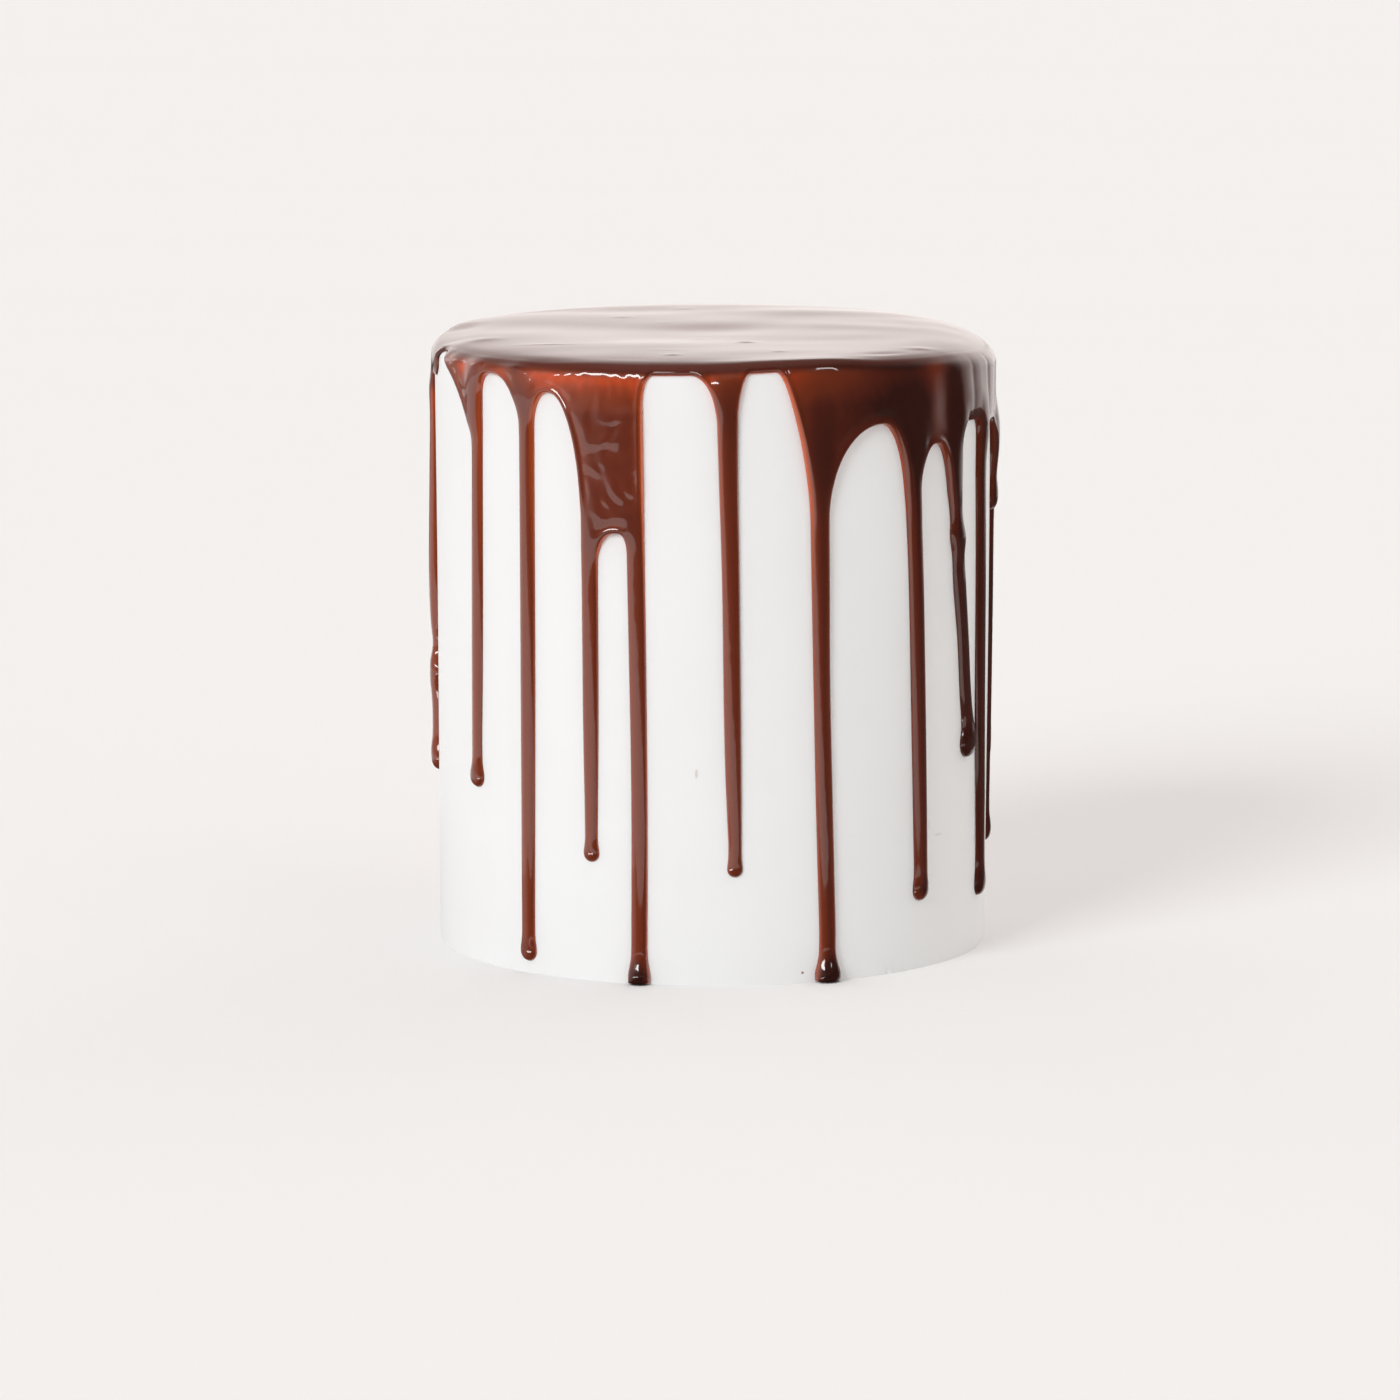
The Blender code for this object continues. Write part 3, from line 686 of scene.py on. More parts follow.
def relax(places, faces, source, spread, fixed):
    """Solves value - spread^2 * laplacian(value) = source over a mesh, with 0 at the fixed points."""
    count = len(places)
    ends, weights = [], []
    area = np.zeros(count)
    squared = spread**2
    corners = places[faces]
    normal = np.cross(corners[:, 1] - corners[:, 0], corners[:, 2] - corners[:, 0])
    double = np.maximum(np.linalg.norm(normal, axis=1), 1e-12)
    tension = squared[faces].mean(1)
    for k in range(3):
        i, j, o = faces[:, k], faces[:, (k + 1) % 3], faces[:, (k + 2) % 3]
        cotangent = np.einsum("ij,ij->i", places[i] - places[o], places[j] - places[o]) / double
        ends.append((i, j))
        weights.append(np.clip(cotangent, *MOST_TENSION) / 2 * tension)
        area += np.bincount(i, double / 6, count)
    one = np.concatenate([i for i, _ in ends])
    other = np.concatenate([j for _, j in ends])
    weight = np.concatenate(weights)
    diagonal = area + np.bincount(one, weight, count) + np.bincount(other, weight, count)
    diagonal[diagonal == 0.0] = 1.0
    free = (~fixed).astype(float)

    def apply(value):
        spilled = np.bincount(one, weight * value[other], count)
        spilled = spilled + np.bincount(other, weight * value[one], count)
        return (diagonal * value - spilled) * free

    value = np.zeros(count)
    rest = area * source * free
    step = rest / diagonal
    along = step.copy()
    size = rest @ step
    goal = size * RELAX_ERROR
    for _ in range(RELAX_STEPS):
        moved = apply(along)
        pace = size / (along @ moved)
        value += pace * along
        rest -= pace * moved
        step = rest / diagonal
        new_size = rest @ step
        if new_size < goal:
            break
        along = step + new_size / size * along
        size = new_size
    return value


def drip_fields(azimuth, heights):
    """For each point of the wall how much of a drip it is, and the squared thickness that drip asks for."""
    part = np.zeros(len(azimuth))
    asked = np.zeros(len(azimuth))
    for index, (drip, opening) in enumerate(RUNS):
        before = RUNS[index - 1][1]
        apart = turn_between(azimuth, drip_azimuth(drip, heights))
        half = drip_half_width(drip, np.maximum(heights, drip.end + drip.bulb))
        offset = np.radians(apart) * TOP_RADIUS / half
        lower = min(before.height - before.right_fall, opening.height - opening.left_fall)
        upper = min(before.height, opening.height)
        fade = 1 - share(heights, upper - DRIP_FADE_BELOW, min(upper + DRIP_FADE_ABOVE, DRIP_FADE_TOP))
        narrow = np.exp(-((np.abs(offset) / NARROW_REACH) ** NARROW_POWER))
        mixed = share(heights, lower - MIXED_BELOW, lower + MIXED_ABOVE)
        own = ((np.abs(offset) < DRIP_REACH) * (1 - mixed) + narrow * mixed) * fade
        rise = np.minimum(DRIP_RISE * half, MOST_RISE)
        if drip.end == 0.0:
            rise = rise * (1 + FOOT_SWELL * bump(heights, *FOOT_BULGE))
        full = rise**2 / (1 - 1 / np.cosh(half / RUN_SPREAD))
        better = own > part
        part = np.where(better, own, part)
        asked = np.where(better, full, asked)
    return part, asked


def sheet_thickness(turn, heights):
    """The thickness of the sheet between the drips, how much of a film it is, and how far down that is."""
    length = FILM_LENGTH + (FILM_LENGTH_RIGHT - FILM_LENGTH) * share(turn, *FILM_LENGTH_TURN)
    down = np.clip((FILM_TOP - heights) / length, 0.0, 1.0)
    filmed = FILM_THICKNESS + (SHEET_THICKNESS - FILM_THICKNESS) * down
    thin = between(turn, FILM_ARC)
    for middle, spread, height, tall in FILM_PATCHES:
        thin = np.maximum(thin, bump(turn, middle, spread) * bump(heights, height, tall))
    sheet = BACK_THICKNESS + (SHEET_THICKNESS - BACK_THICKNESS) * between(turn, SHEET_ARC)
    return sheet + (filmed - sheet) * thin, thin, down


def beaded_thickness(sheet, turn, distance, own):
    """The thickness of the sheet with the bead along its edge and the groove behind that."""
    beaded = (1 - own) * (1 - BEAD_LESS * between(turn, NO_BEAD_ARC))
    bead = bump(distance, *BEAD) * beaded
    groove = bump(distance, *GROOVE) * beaded * share(sheet, *GROOVE_SHEET)
    return sheet + (np.maximum(BEAD_THICKNESS, sheet + BEAD_RISE) - sheet) * bead - GROOVE_DEPTH * groove


def pool_thickness(turn, climb):
    """The thickness of the pool, which thins towards its rim."""
    middle, spread, more = RIM_FALLS_MORE
    less_from, less_to, less = RIM_FALLS_LESS
    away = np.abs(turn)
    fall = RIM_FALL * (1 + more * bump(turn, middle, spread)) * (1 - less * share(away, less_from, less_to))
    length = RIM_LENGTH * (1 + sum(longer * bump(turn, at, wide) for at, wide, longer in RIM_LONGER))
    soft = SOFT_FALL * between(away, SOFT_ARC)
    past = np.maximum(climb - FLAT_START, -RIM_REACH)
    return POOL_THICKNESS - fall * np.exp(-past / length) - soft * np.exp(-past / SOFT_LENGTH)


def thickness_source(skin):
    """The squared thickness that the chocolate tends to at each point, how far it spreads, and how much
    thinner it looks than it lies."""
    heights = np.minimum(skin.climb, CAKE_HEIGHT)
    own, asked = drip_fields(skin.azimuth, heights)
    turn = turn_between(skin.azimuth, 0.0)
    sheet, thin, down = sheet_thickness(turn, heights)
    sheet = beaded_thickness(sheet, turn, skin.distance, own)
    wall = sheet**2 * (1 - own) + asked * own
    top = share(skin.climb, *RIM_CLIMB)
    source = wall + (pool_thickness(turn, skin.climb) ** 2 - wall) * top
    leaf = between(-turn, LEAF_ARC) * share(skin.climb, *LEAF_CLIMB)
    leaf = leaf * (1 - share(skin.climb, FLAT_START, FLAT_START + LEAF_LENGTH))
    source = source * (1 - LEAF_THINNER * leaf)
    spread = SHEET_SPREAD + (RUN_SPREAD - SHEET_SPREAD) * own
    spread = spread + (LIP_SPREAD - spread) * top
    clear = FILM_CLEAR * thin * (1 - down) * (1 - share(skin.climb, *FILM_CLEAR_TOP))
    return source, spread, clear * (1 - share(turn, *FILM_CLEAR_TURN))


def add_object(name, data):
    """A new object in the scene."""
    made = bpy.data.objects.new(name, data)
    bpy.context.scene.collection.objects.link(made)
    return made


def mesh_object(name, places, faces, attributes):
    """A smooth mesh object with float attributes on its points."""
    mesh = bpy.data.meshes.new(name)
    mesh.from_pydata(places.tolist(), [], faces)
    for key, values in attributes.items():
        held = mesh.attributes.new(key, "FLOAT", "POINT")
        held.data.foreach_set("value", np.asarray(values, np.float32))
    mesh.shade_smooth()
    return add_object(name, mesh)


# The marks in the pool: where, how long and wide, the turn of the long side in degrees, and how high, in mm
POOL_MARKS = (
    (-12.0, -8.0, 36.0, 20.0, 0.0, -0.55),
    (3.0, 6.0, 16.0, 12.0, 0.0, -0.50),
    (-38.0, 14.0, 22.0, 15.0, 10.0, -0.42),
    (31.0, 46.0, 30.0, 9.0, -12.0, 0.34),
    (42.0, 10.0, 20.0, 8.0, -20.0, 0.30),
    (-22.0, -34.0, 26.0, 9.0, 4.0, 0.22),
    (-14.0, 54.0, 26.0, 9.0, 8.0, -0.30),
    (30.0, -22.0, 22.0, 9.0, 14.0, -0.28),
    (-25.0, 34.5, 2.4, 1.8, 0.0, 0.12),
    (-8.0, 58.0, 2.6, 2.0, 0.0, 0.10),
    (-13.7, 21.4, 1.4, 1.2, 0.0, 0.06),
    (-3.6, -18.0, 2.4, 1.2, 0.0, 0.09),
    (8.8, -27.4, 2.3, 1.9, 0.0, 0.28),
    (17.5, -51.0, 1.7, 1.5, 0.0, 0.14),
    (-10.8, -58.0, 1.7, 1.6, 0.0, 0.18),
    (-43.5, -31.4, 7.5, 1.4, -4.0, 0.13),
    (-12.0, -47.6, 5.0, 0.9, 0.0, 0.06),
    (55.0, -38.0, 4.2, 2.4, 20.0, 0.20),
    (-61.5, -17.0, 4.5, 3.0, 0.0, 0.16),
    (45.0, -52.0, 7.0, 2.4, 35.0, -0.26),
)


# Waves whose crests bend: how high, how fast along and up, how strong the bend is, how fast that goes along
# and up and where it starts, and where the wave starts
POOL_SWELLS = ((0.00007, 70, 120, 1.1, 60, -40, 0.0, 0.5), (0.00003, -110, 210, 1.6, 85, 50, 0.7, 2.1))
FLOW_BENDS = ((0.0016, 90, 210, 0.0, 0, 0, 0.0, 0.0), (0.0008, -300, 520, 0.0, 0, 0, 0.0, 1.0))
FLOW_KNOTS = (1.0, 310, 680, 1.7, 340, -260, 0.0, 0.0)
FLOW_STREAKS = (1.0, 1450, 380, 0.0, 0, 0, 0.0, 0.4)
FLOW_PATCHES = (0.5, -350, 420, 1.3, 300, 0, 0.0, 2.0)


def swell(along, up, numbers):
    """The height of one wave whose crests bend."""
    high, rate, up_rate, bend, bend_rate, bend_up_rate, bend_start, begin = numbers
    bent = bend * np.sin(bend_rate * along + bend_up_rate * up + bend_start)
    return high * np.sin(rate * along + up_rate * up + bent + begin)


def pool_waves(x, y):
    """The swirls, dimples and small lumps of the pool, as a height."""
    height = sum(swell(x, y, numbers) for numbers in POOL_SWELLS)
    for middle_x, middle_y, long, wide, turn, high in POOL_MARKS:
        along_x, along_y = cos(radians(turn)), sin(radians(turn))
        apart_x, apart_y = x - middle_x / 1000, y - middle_y / 1000
        far = (apart_x * along_x + apart_y * along_y) / (long / 1000)
        wide_off = (apart_y * along_x - apart_x * along_y) / (wide / 1000)
        height += high / 1000 * np.exp(-(far**2) - wide_off**2)
    return height


def flow_relief(along, up):
    """The uneven surface that the running chocolate set with, from -1 to 1."""
    bend = sum(swell(along, up, numbers) for numbers in FLOW_BENDS)
    knot = swell(along, up, FLOW_KNOTS)
    streak = swell(along + bend, up, FLOW_STREAKS)
    patch = 0.5 + swell(along, up, FLOW_PATCHES)
    return (knot + streak * patch) / 2


# The folds of the thick apron on the +X side: azimuth, spread in degrees, and height in mm
APRON_FOLDS = (
    (53.4, 4.0, -0.80),
    (61.0, 2.2, 0.12),
    (64.2, 0.9, -0.16),
    (67.6, 1.8, 0.14),
    (74.0, 1.1, -0.34),
    (78.5, 2.4, 0.16),
)
APRON_STEP = 0.0010
APRON_STEP_ARC = (54.0, 59.5, 60.0, 84.0)
APRON_STEP_CLIMB = (0.1505, 0.0085)
APRON_FOOT = (0.136, 0.150)
APRON_TOP = (0.1590, 0.1640)
APRON_MARGIN = (0.0005, 0.0025)


def apron_folds(turn, climb):
    """The folds of the apron, as a height. It starts with a step that faces the front."""
    folds = sum(high / 1000 * bump(turn, middle, spread) for middle, spread, high in APRON_FOLDS)
    step = APRON_STEP * between(turn, APRON_STEP_ARC)
    fade = 1 - share(climb, *APRON_TOP)
    return folds * share(climb, *APRON_FOOT) * fade + step * bump(climb, *APRON_STEP_CLIMB)


def bulb_share(skin):
    """How much of a bulb or foot each point of the skin is."""
    found = np.zeros(len(skin.azimuth))
    first, last = BULB_REACH
    for drip, _ in RUNS:
        apart = np.radians(turn_between(skin.azimuth, drip_azimuth(drip, skin.climb))) * TOP_RADIUS
        near = np.abs(apart) < 2 * drip.bulb
        past = share(skin.climb - drip.end, first * drip.bulb, last * drip.bulb)
        found = np.maximum(found, near * (1 - past))
    return found


def edge_glow(skin):
    """How much light shines through the thin edge: most on the sides that face the middle of the front."""
    turn = turn_between(skin.azimuth, 0.0)
    high = share(skin.climb, *GLOW_CLIMB)
    wide = GLOW_LOW + (GLOW_HIGH - GLOW_LOW) * high
    toward = np.clip(-skin.side * turn / GLOW_FULL_TURN, 0.0, 1.0) * bump(turn, *GLOW_TURN)
    strength = (GLOW_EVERYWHERE + GLOW_TOWARD * toward) * (GLOW_LOW_SHARE + (1 - GLOW_LOW_SHARE) * high)
    return strength * (1 - share(skin.distance / wide, GLOW_CORE, 1.0)) * (skin.climb < ROUND_START)


def depth_and_painted_shade(skin, thickness, clear, waves, inside, own):
    """How deep the chocolate looks at each point, which its colour follows, with painted shade added on the
    right side, along the lip and on the bulbs.
    """
    turn = turn_between(skin.azimuth, 0.0)
    right = between(turn, RIGHT_SHADE_ARC)
    left = between(-turn, LEFT_ARC)
    upper = share(skin.climb, *SIDE_CLIMB)
    folded = share(turn, *FOLD_TURN) * share(skin.climb, *FOLD_CLIMB)
    # Painted shade on the right side, less of it on the folds, in a pale band and near the edges
    painted_shade_and_tone = PAINTED_SHADE * (between(turn, PAINTED_SHADE_ARC) + right) * (1 - FOLD_LESS_SHADE * folded)
    painted_shade_and_tone = painted_shade_and_tone + DARK_DEPTH * bump(turn, *DARK_TURN) * share(skin.climb, *DARK_CLIMB)
    painted_shade_and_tone = painted_shade_and_tone * (1 - PALE_BAND * bump(turn, *PALE_TURN) * share(skin.climb, *PALE_CLIMB))
    painted_shade_and_tone = painted_shade_and_tone * (SHADE_AT_EDGE + (1 - SHADE_AT_EDGE) * share(skin.distance, *SHADE_MARGIN))
    painted_shade_and_tone = painted_shade_and_tone + (SIDE_DEPTH * upper - RUN_CLEAR * (1 - upper)) * left
    # Painted shade along the lip
    painted_shade_and_tone = painted_shade_and_tone + LIP_SHADE * bump(skin.climb, *LIP_SHADE_CLIMB) * between(turn, LIP_ARC)
    depth = thickness - clear + painted_shade_and_tone * share(thickness, *SHADE_AND_TONE_THICKNESS)
    depth = depth + FLOW_DEPTH * flow_relief(across(skin.azimuth) * FLOW_FINER, skin.climb) * inside
    # The drips and the sides no lighter than a given depth, which on the right side is painted shade
    depth = np.maximum(depth, EDGE_DEPTH * np.maximum(own, SIDE_SHADE_AND_TONE * np.maximum(right, left * upper)))
    pool = POOL_DEPTH + POOL_DEPTH_WAVES * waves
    depth = depth + (pool - depth) * share(skin.climb, *POOL_DEPTH_CLIMB)
    # Painted shade on the bulbs and feet
    return depth + BULB_SHADE * bulb_share(skin)


def closed_faces(outer, inner, shift):
    """The triangles of an outer skin, an inner one whose points follow, and the strip between them."""
    ends = outer.edge
    strip = []
    for i in range(ends - 1):
        a, b = (i, i + 1) if i else (ends - 1, 1)
        strip.append((a, b, shift + b))
        strip.append((a, shift + b, shift + a))
    return np.vstack([outer.faces, inner.faces[:, ::-1] + shift, np.array(strip)[:, ::-1]])


def relief_share(skin, own):
    """How much each point of the skin takes part in the uneven surface of the sheets."""
    inside = share(skin.distance, *RELIEF_MARGIN) * (1 - share(skin.climb, *RELIEF_TOP))
    return inside * (1 - DRIP_CALM * own) * between(turn_between(skin.azimuth, 0.0), RELIEF_ARC)


def chocolate():
    """The chocolate as one closed skin: pool, lip, sheet and drips."""
    edge, feet = chocolate_edge()
    outer = chocolate_skin(edge, feet, RING_DEPTHS, FIELD_STEP, FIELD_MARGIN, POOL_STEP)
    inner = chocolate_skin(edge, feet, (), COARSE_STEP, COARSE_STEP / 2, COARSE_POOL_STEP)
    places, rises = base_surface(outer.azimuth, outer.climb)
    source, spread, clear = thickness_source(outer)
    fixed = np.zeros(len(places), bool)
    fixed[: outer.edge] = ~outer.feet
    thickness = np.sqrt(np.maximum(relax(places, outer.faces, source, spread, fixed), 0.0))
    own = drip_fields(outer.azimuth, np.minimum(outer.climb, CAKE_HEIGHT))[0]
    turn = turn_between(outer.azimuth, 0.0)
    inside = relief_share(outer, own)
    waves = pool_waves(places[:, 0], places[:, 1]) * share(outer.climb, *WAVES_CLIMB)
    waves = waves + RELIEF * flow_relief(across(outer.azimuth), outer.climb) * inside
    waves = waves + apron_folds(turn, outer.climb) * share(outer.distance, *APRON_MARGIN)
    surface = places + rises * (thickness + waves - CONTACT_DEPTH)[:, None]
    curl = bump(outer.climb, *LIP_CURL_CLIMB) * share(outer.distance, *LIP_CURL_MARGIN)
    surface[:, 2] -= LIP_CURL * curl * between(turn, LIP_ARC)
    low, low_rises = base_surface(inner.azimuth, inner.climb)
    low = low - low_rises * INNER_DEPTH
    settle(surface)
    settle(low)
    faces = closed_faces(outer, inner, len(surface))
    everything = np.vstack([surface, low])
    depth = depth_and_painted_shade(outer, thickness, clear, waves, inside, own)
    depth = np.concatenate([depth, np.full(len(low), INNER_COLOUR_DEPTH)])
    rim = np.concatenate([edge_glow(outer), np.zeros(len(low))])
    used = np.zeros(len(everything), bool)
    used[faces] = True
    number = np.cumsum(used) - 1
    # The depth holds painted shade as well as the thickness
    attributes = {"depth": depth[used], "glow": rim[used]}
    return mesh_object("chocolate", everything[used], number[faces].tolist(), attributes)


def material(name, inputs):
    """A new material with the given inputs of its Principled shader, its node tree and that shader."""
    made = bpy.data.materials.new(name)
    made.use_nodes = True
    shader = made.node_tree.nodes["Principled BSDF"]
    for key, value in inputs.items():
        shader.inputs[key].default_value = value
    return made, made.node_tree, shader


def feed(tree, socket, value):
    """Gives an input a value, or the output of another node."""
    if isinstance(value, bpy.types.NodeSocket):
        tree.links.new(value, socket)
    else:
        socket.default_value = value


def node(tree, kind, **settings):
    """A new node with settings, and with inputs by name."""
    made = tree.nodes.new(kind)
    for key, value in settings.items():
        if hasattr(made, key):
            setattr(made, key, value)
        else:
            feed(tree, made.inputs[key], value)
    return made


def ramp(tree, value, stops):
    """The colour that a ramp with (place, colour) stops has for a value."""
    made = node(tree, "ShaderNodeValToRGB", Fac=value)
    elements = made.color_ramp.elements
    while len(elements) < len(stops):
        elements.new(0.5)
    for element, (place, colour) in zip(elements, stops):
        element.position = place
        element.color = (*colour, 1.0)
    return made.outputs["Color"]


def noise(tree, coordinates, scale, detail):
    """Noise at the coordinates."""
    made = node(tree, "ShaderNodeTexNoise", Vector=coordinates, Scale=scale, Detail=detail)
    return made.outputs["Fac"]


def eased(tree, value, *bounds):
    """A value that goes smoothly from low to high as another one goes from first to last."""
    made = node(tree, "ShaderNodeMapRange", interpolation_type="SMOOTHSTEP", Value=value)
    for key, bound in zip(("From Min", "From Max", "To Min", "To Max"), bounds):
        made.inputs[key].default_value = bound
    return made.outputs["Result"]


def combine(tree, operation, *values):
    """The result of a mathematical operation on values."""
    made = node(tree, "ShaderNodeMath", operation=operation)
    for socket, value in zip(made.inputs, values):
        feed(tree, socket, value)
    return made.outputs["Value"]


# The sockets of a node that mixes colours
MIX_INPUTS = (0, 6, 7)
MIX_RESULT = 2


def dress(tree, shader, coordinates, colour, mark, mark_colour, grain):
    """Gives a shader its colour, with another one where a mark is, and a fine grain."""
    scale, detail, strength, distance = grain
    mixed = node(tree, "ShaderNodeMix", data_type="RGBA")
    for key, value in zip(MIX_INPUTS, (mark, colour, (*mark_colour, 1.0))):
        feed(tree, mixed.inputs[key], value)
    height = noise(tree, coordinates, scale, detail)
    relief = node(tree, "ShaderNodeBump", Strength=strength, Distance=distance, Height=height)
    tree.links.new(mixed.outputs[MIX_RESULT], shader.inputs["Base Color"])
    tree.links.new(relief.outputs["Normal"], shader.inputs["Normal"])


# How deep the chocolate looks, painted shade included, as a share of the range, and its colour there
DEPTH_COLOURS = (
    (0.0, (0.58, 0.095, 0.014)),
    (0.16, (0.50, 0.058, 0.010)),
    (0.31, (0.27, 0.037, 0.010)),
    (0.45, (0.185, 0.030, 0.009)),
    (0.58, (0.155, 0.026, 0.009)),
    (0.75, (0.100, 0.017, 0.008)),
    (1.0, (0.040, 0.009, 0.006)),
)
DEPTH_RANGE = 0.0032
GLOW_COLOUR = (0.60, 0.088, 0.006)
CHOCOLATE_GLOSS = {
    "Roughness": 0.34,
    "IOR": 1.2,
    "Coat Weight": 1.0,
    "Coat IOR": 1.6,
    "Coat Roughness": 0.07,
}
FROSTING_GLOSS = {"Roughness": 0.55, "IOR": 1.4}

# A grain: its scale, detail, strength and distance
CHOCOLATE_GRAIN = (2500.0, 2.0, 0.08, 0.0001)
FROSTING_GRAIN = (900.0, 3.0, 0.06, 0.0002)
FROSTING_CLOUDS = (40.0, 3.0)
FROSTING_COLOURS = ((0.3, (0.873, 0.878, 0.880)), (0.7, (0.886, 0.892, 0.896)))


def chocolate_material():
    """Glossy dark chocolate, redder where it is thin, with a thin orange line where it ends, and darker
    where shade is painted into its depth.
    """
    made, tree, shader = material("chocolate_ganache", CHOCOLATE_GLOSS)
    # The depth attribute holds painted shade as well as the thickness
    thickness = node(tree, "ShaderNodeAttribute", attribute_name="depth").outputs["Fac"]
    scaled = node(tree, "ShaderNodeMapRange", Value=thickness)
    scaled.inputs["From Max"].default_value = DEPTH_RANGE
    colour = ramp(tree, scaled.outputs["Result"], DEPTH_COLOURS)
    edge = node(tree, "ShaderNodeAttribute", attribute_name="glow").outputs["Fac"]
    coordinates = node(tree, "ShaderNodeTexCoord").outputs["Object"]
    dress(tree, shader, coordinates, colour, edge, GLOW_COLOUR, CHOCOLATE_GRAIN)
    return made


# The specks and scratches in the frosting: azimuth, height, width and length, and how strongly it shows
SPECKS = (
    (-3.4, 0.0568, 0.0005, 0.0016, 0.30),
    (18.5, 0.0028, 0.0005, 0.0005, 0.85),
    (50.6, 0.0384, 0.0004, 0.0022, 0.16),
    (53.8, 0.0352, 0.0022, 0.0004, 0.14),
)
SPECK_COLOUR = (0.30, 0.12, 0.05)
SPECK_DEPTH = 0.002
SPECK_CORE = 0.5


def speck(tree, coordinates, numbers):
    """How much each point belongs to one small mark."""
    azimuth, height, wide, tall, strength = numbers
    turn = radians(azimuth)
    radius = BASE_RADIUS + (TOP_RADIUS - BASE_RADIUS) * height / CAKE_HEIGHT
    placed = node(
        tree,
        "ShaderNodeMapping",
        vector_type="TEXTURE",
        Vector=coordinates,
        Location=(radius * sin(turn), -radius * cos(turn), height),
        Rotation=(0.0, 0.0, turn),
        Scale=(wide, SPECK_DEPTH, tall),
    )
    far = node(tree, "ShaderNodeVectorMath", operation="LENGTH")
    tree.links.new(placed.outputs["Vector"], far.inputs[0])
    return eased(tree, far.outputs["Value"], SPECK_CORE, 1.0, strength, 0.0)


def frosting_material():
    """Smooth white frosting with a few small marks."""
    made, tree, shader = material("white_frosting", FROSTING_GLOSS)
    coordinates = node(tree, "ShaderNodeTexCoord").outputs["Object"]
    colour = ramp(tree, noise(tree, coordinates, *FROSTING_CLOUDS), FROSTING_COLOURS)
    mark = speck(tree, coordinates, SPECKS[0])
    for numbers in SPECKS[1:]:
        mark = combine(tree, "MAXIMUM", mark, speck(tree, coordinates, numbers))
    dress(tree, shader, coordinates, colour, mark, SPECK_COLOUR, FROSTING_GRAIN)
    return made


FROSTING_TURNS = 420
FROSTING_STEP = 0.0016
ROUND_STEPS = 5
TOP_RINGS = (0.004, 0.012, 0.030, 0.055)
SHARP_ANGLE = 40

# The wobble of the wall: how high, how fast round and up, and where it starts. And the climbs where it
# sets in and ends
WOBBLES = ((0.00005, 3, 30, 0.0), (0.00004, 7, -45, 1.0))
WOBBLE_CLIMB = (0.0, 0.01, 0.155, 0.160)

# The scraped edge of the base: how deep, its azimuth and spread, how high up, how fast it comes and goes
SCRAPE_DEPTH = 0.0004
SCRAPE_TURN = (40.0, 5.0)
SCRAPE_CLIMB = (0.0, 0.0045)
SCRAPE_RATE = 2.9


def frosting_faces(rows, total):
    """The faces of rings of points, and of the two points that close them below and above."""
    steps = [(i, (i + 1) % FROSTING_TURNS) for i in range(FROSTING_TURNS)]
    starts = [row * FROSTING_TURNS for row in range(rows)]
    faces = []
    for low, high in zip(starts, starts[1:]):
        faces += [(low + i, low + j, high + j, high + i) for i, j in steps]
    for i, j in steps:
        faces += [(total, j, i), (starts[-1] + i, starts[-1] + j, total + 1)]
    return faces


def frosting():
    """The frosted cake as one closed skin, very slightly uneven."""
    wall = evenly(0.0, ROUND_START, FROSTING_STEP)
    rounded = evenly(ROUND_START, FLAT_START, EDGE_ROUND / ROUND_STEPS)[1:]
    climbs = np.concatenate([wall, rounded, FLAT_START + np.array(TOP_RINGS)])
    azimuths = np.arange(FROSTING_TURNS) * 360.0 / FROSTING_TURNS
    azimuth, climb = (grid.ravel() for grid in np.meshgrid(azimuths, climbs))
    places, rises = base_surface(azimuth, climb)
    turn = np.radians(azimuth)
    wobble = sum(high * np.sin(rate * turn + up * climb + begin) for high, rate, up, begin in WOBBLES)
    scraped = SCRAPE_DEPTH * bump(azimuth, *SCRAPE_TURN) * (1 - share(climb, *SCRAPE_CLIMB))
    scraped = scraped * np.sin(SCRAPE_RATE * azimuth)
    places = settle(places + rises * (scraped + wobble * between(climb, WOBBLE_CLIMB))[:, None])
    faces = frosting_faces(len(climbs), len(places))
    places = np.vstack([places, [[0, 0, 0], [0, 0, CAKE_HEIGHT]]])
    made = mesh_object("frosting", places, faces, {})
    made.data.set_sharp_from_angle(angle=radians(SHARP_ANGLE))
    return made


FLOOR_RADIUS = 8.0
FLOOR_CORNERS = 64
FLOOR_COLOUR = (0.868, 0.863, 0.861, 1.0)
FLOOR_ROUGHNESS = 0.7
MIRRORED_HEIGHT = 0.0002
# The bright parts of the floor that only the gloss shows glow a little of their own: a painted reflection
# of the lit table
MIRRORED_GLOW = {"Emission Color": (1.0, 0.90, 0.84, 1.0), "Emission Strength": 0.22}
SHADE_COLOUR = (0.10, 0.085, 0.08, 1.0)
NO_GLOSS = {"Specular IOR Level": 0.0}

# The corners of the bright parts of the floor that only the gloss shows, round a square for the cake
MIRRORED_FLOOR = (
    ((-1.60, -0.45), (-0.45, -0.58), (-0.18, -0.60), (-0.18, 0.62), (-1.60, 0.62)),
    ((-0.18, -0.60), (-0.10, -0.60), (0.18, -0.39), (0.18, -0.18), (-0.18, -0.18)),
    ((-0.18, 0.18), (0.10, 0.18), (0.10, 0.62), (-0.18, 0.62)),
)

# The corners of the dark part of the floor that only the gloss shows
SHADED_FLOOR = (((0.18, -0.30), (0.66, -0.30), (0.66, 0.66), (0.10, 0.66), (0.10, 0.18), (0.18, 0.18)),)

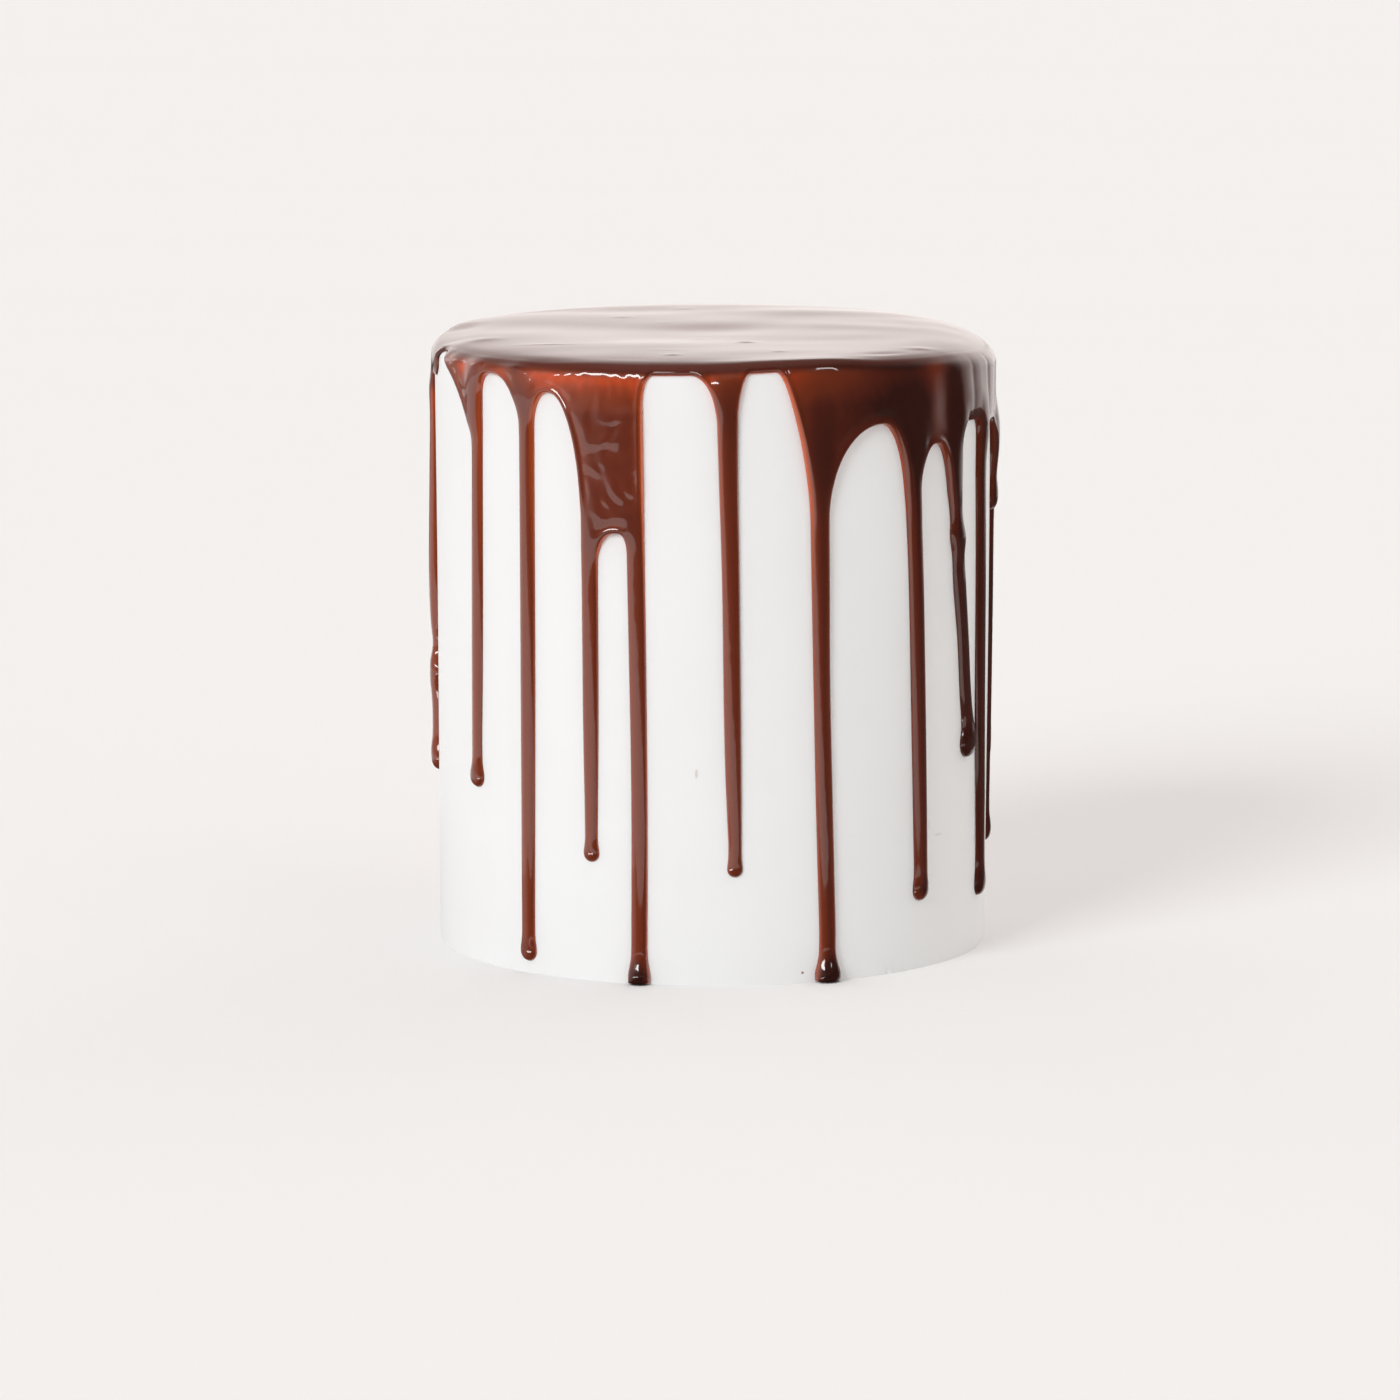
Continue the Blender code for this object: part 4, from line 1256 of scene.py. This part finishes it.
# The lights: strength, spread across, height above the floor and azimuth, in degrees
KEY = (1.38, 26.0, 28.0, -35.5)
SIDE_KEY = (2.80, 30.0, 28.0, -70.0)
FILL = (0.80, 110.0, 25.0, 88.0)
TOP = (1.54, 150.0, 90.0, 0.0)
KEY_COLOUR = (0.95, 0.985, 1.0)
FILL_COLOUR = (1.0, 0.94, 0.89)
TOP_COLOUR = (1.0, 0.970, 0.950)

# The windows that only the gloss shows: azimuth, height in degrees, distance, width, height, strength
WINDOWS = (
    (-40.0, 21.0, 2.4, 1.9, 0.26, 26.0),
    (48.0, 24.0, 2.4, 0.26, 0.26, 1.6),
    (-40.0, -21.0, 2.4, 1.9, 0.26, 16.0),
    (-132.0, 24.0, 2.4, 0.50, 0.60, 1.1),
)

# The room's glows along an axis: from and to where, and from and to how bright. The glow at the back fades
# upwards, and does so later towards the sides. It also fades low down, but not at the right
BACK_GLOW = ("Y", 0.22, 0.85, 0.02, 1.17)
BACK_FADE = (0.10, 0.45, 1.0, 0.30)
SIDE_REACH = 0.6
LOW_FADE = ("Z", -0.14, -0.04, 0.05, 1.0)
RIGHT_FADE = ("X", 0.0, 0.30, 0.0, 0.85)
LEFT_GLOW = ("X", -0.62, -0.98, 0.02, 0.60)
TOP_GLOW = ("Z", 0.60, 0.95, 0.02, 0.25)
ROOM_COLOUR = (0.96, 0.89, 0.86, 1.0)

# The camera: the focal length in pixels of the photograph, the width of that, and of the sensor in mm
FOCAL_PIXELS = 7243.0
PHOTO_PIXELS = 1400.0
SENSOR_WIDTH = 36.0
CAMERA_PLACE = (-0.0035, -1.950, 0.3769)
CAMERA_TILT = 9.101
CAMERA_REACH = 50.0


def flat_mesh(name, outlines, height, surface):
    """A flat mesh object of the stage, with a face for each outline."""
    mesh = bpy.data.meshes.new(name)
    corners = [(x, y, height) for outline in outlines for x, y in outline]
    starts = [sum(len(outline) for outline in outlines[:i]) for i in range(len(outlines))]
    faces = [tuple(range(start, start + len(outline))) for start, outline in zip(starts, outlines)]
    mesh.from_pydata(corners, [], faces)
    mesh.materials.append(surface)
    made = add_object(name, mesh)
    return made


def floor_material(name, colour, inputs):
    """A plain material for a part of the floor."""
    return material(name, {"Base Color": colour, "Roughness": FLOOR_ROUGHNESS, **inputs})[0]


def stage():
    """The pale floor, and the bright and the dark parts of it that only the gloss shows.

    It returns the parts that the key light shines on.
    """
    turns = [tau * i / FLOOR_CORNERS for i in range(FLOOR_CORNERS)]
    circle = [(FLOOR_RADIUS * cos(turn), FLOOR_RADIUS * sin(turn)) for turn in turns]
    pale = floor_material("pale_floor", FLOOR_COLOUR, NO_GLOSS)
    bright = floor_material("mirrored_floor", FLOOR_COLOUR, MIRRORED_GLOW)
    dark = floor_material("shaded_floor", SHADE_COLOUR, NO_GLOSS)
    floor = flat_mesh("floor", [circle], 0.0, pale)
    mirrored = flat_mesh("mirrored_floor", MIRRORED_FLOOR, MIRRORED_HEIGHT, bright)
    shade = flat_mesh("shaded_floor", SHADED_FLOOR, MIRRORED_HEIGHT, dark)
    floor.visible_glossy = False
    for reflected in (mirrored, shade):
        reflected.visible_camera = False
        reflected.visible_diffuse = False
        reflected.visible_shadow = False
    return [floor, mirrored]


def sun(name, numbers, colour, lit=None):
    """A soft light without a glint of its own. It lights everything, or only the objects of a list."""
    strength, spread, height, azimuth = numbers
    light = bpy.data.lights.new(name, "SUN")
    light.energy = strength
    light.angle = radians(spread)
    light.color = colour
    made = add_object(name, light)
    made.rotation_euler = (radians(90.0 - height), 0.0, radians(azimuth))
    made.visible_glossy = False
    if lit:
        receivers = bpy.data.collections.new(name)
        for receiver in lit:
            receivers.objects.link(receiver)
        made.light_linking.receiver_collection = receivers


def window(numbers):
    """A window that only the gloss shows."""
    azimuth, height, distance, width, tall, strength = numbers
    light = bpy.data.lights.new("window", "AREA")
    light.shape = "RECTANGLE"
    light.size = width
    light.size_y = tall
    light.energy = strength
    made = add_object("window", light)
    made.rotation_euler = (radians(90.0 - height), 0.0, radians(azimuth))
    turn, up = radians(azimuth), radians(height)
    made.location = (
        distance * cos(up) * sin(turn),
        -distance * cos(up) * cos(turn),
        CAKE_HEIGHT / 2 + distance * sin(up),
    )
    made.visible_diffuse = False


def room():
    """A pale room, bright to the left, behind the cake and above, and dark in front."""
    world = bpy.data.worlds.new("studio")
    bpy.context.scene.world = world
    world.use_nodes = True
    tree = world.node_tree
    coordinates = node(tree, "ShaderNodeTexCoord")
    parts = node(tree, "ShaderNodeSeparateXYZ", Vector=coordinates.outputs["Generated"])
    glows = (BACK_GLOW, LEFT_GLOW, TOP_GLOW, LOW_FADE, RIGHT_FADE)
    back, left, top, low, right = [eased(tree, parts.outputs[axis], *numbers) for axis, *numbers in glows]
    sideways = combine(tree, "ABSOLUTE", parts.outputs["X"])
    lowered = combine(tree, "MULTIPLY_ADD", sideways, -SIDE_REACH, parts.outputs["Z"])
    fade = eased(tree, lowered, *BACK_FADE)
    back = combine(tree, "MULTIPLY", back, combine(tree, "MAXIMUM", low, right))
    behind = combine(tree, "MULTIPLY", back, fade)
    sides = combine(tree, "MAXIMUM", behind, left)
    background = tree.nodes["Background"]
    tree.links.new(combine(tree, "MAXIMUM", sides, top), background.inputs["Strength"])
    background.inputs["Color"].default_value = ROOM_COLOUR


def camera():
    """The camera where the photograph was taken from."""
    data = bpy.data.cameras.new("camera")
    data.sensor_width = SENSOR_WIDTH
    data.lens = FOCAL_PIXELS / PHOTO_PIXELS * SENSOR_WIDTH
    data.clip_end = CAMERA_REACH
    made = add_object("camera", data)
    made.location = CAMERA_PLACE
    made.rotation_euler = (radians(90.0 - CAMERA_TILT), 0.0, 0.0)
    bpy.context.scene.camera = made


def main():
    """Dresses the cake and sets the stage."""
    camera()
    bpy.context.scene.view_settings.view_transform = "Standard"
    ground = stage()
    cake = frosting()
    cake.data.materials.append(frosting_material())
    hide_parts("frosted_cake")
    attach(cake, "root")
    drips = chocolate()
    drips.data.materials.append(chocolate_material())
    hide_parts("chocolate_drip")
    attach(drips, "root")
    sun("key", KEY, KEY_COLOUR, [cake] + ground)
    sun("side_key", SIDE_KEY, KEY_COLOUR, [drips])
    sun("fill", FILL, FILL_COLOUR)
    sun("top", TOP, TOP_COLOUR)
    for numbers in WINDOWS:
        window(numbers)
    room()


main()
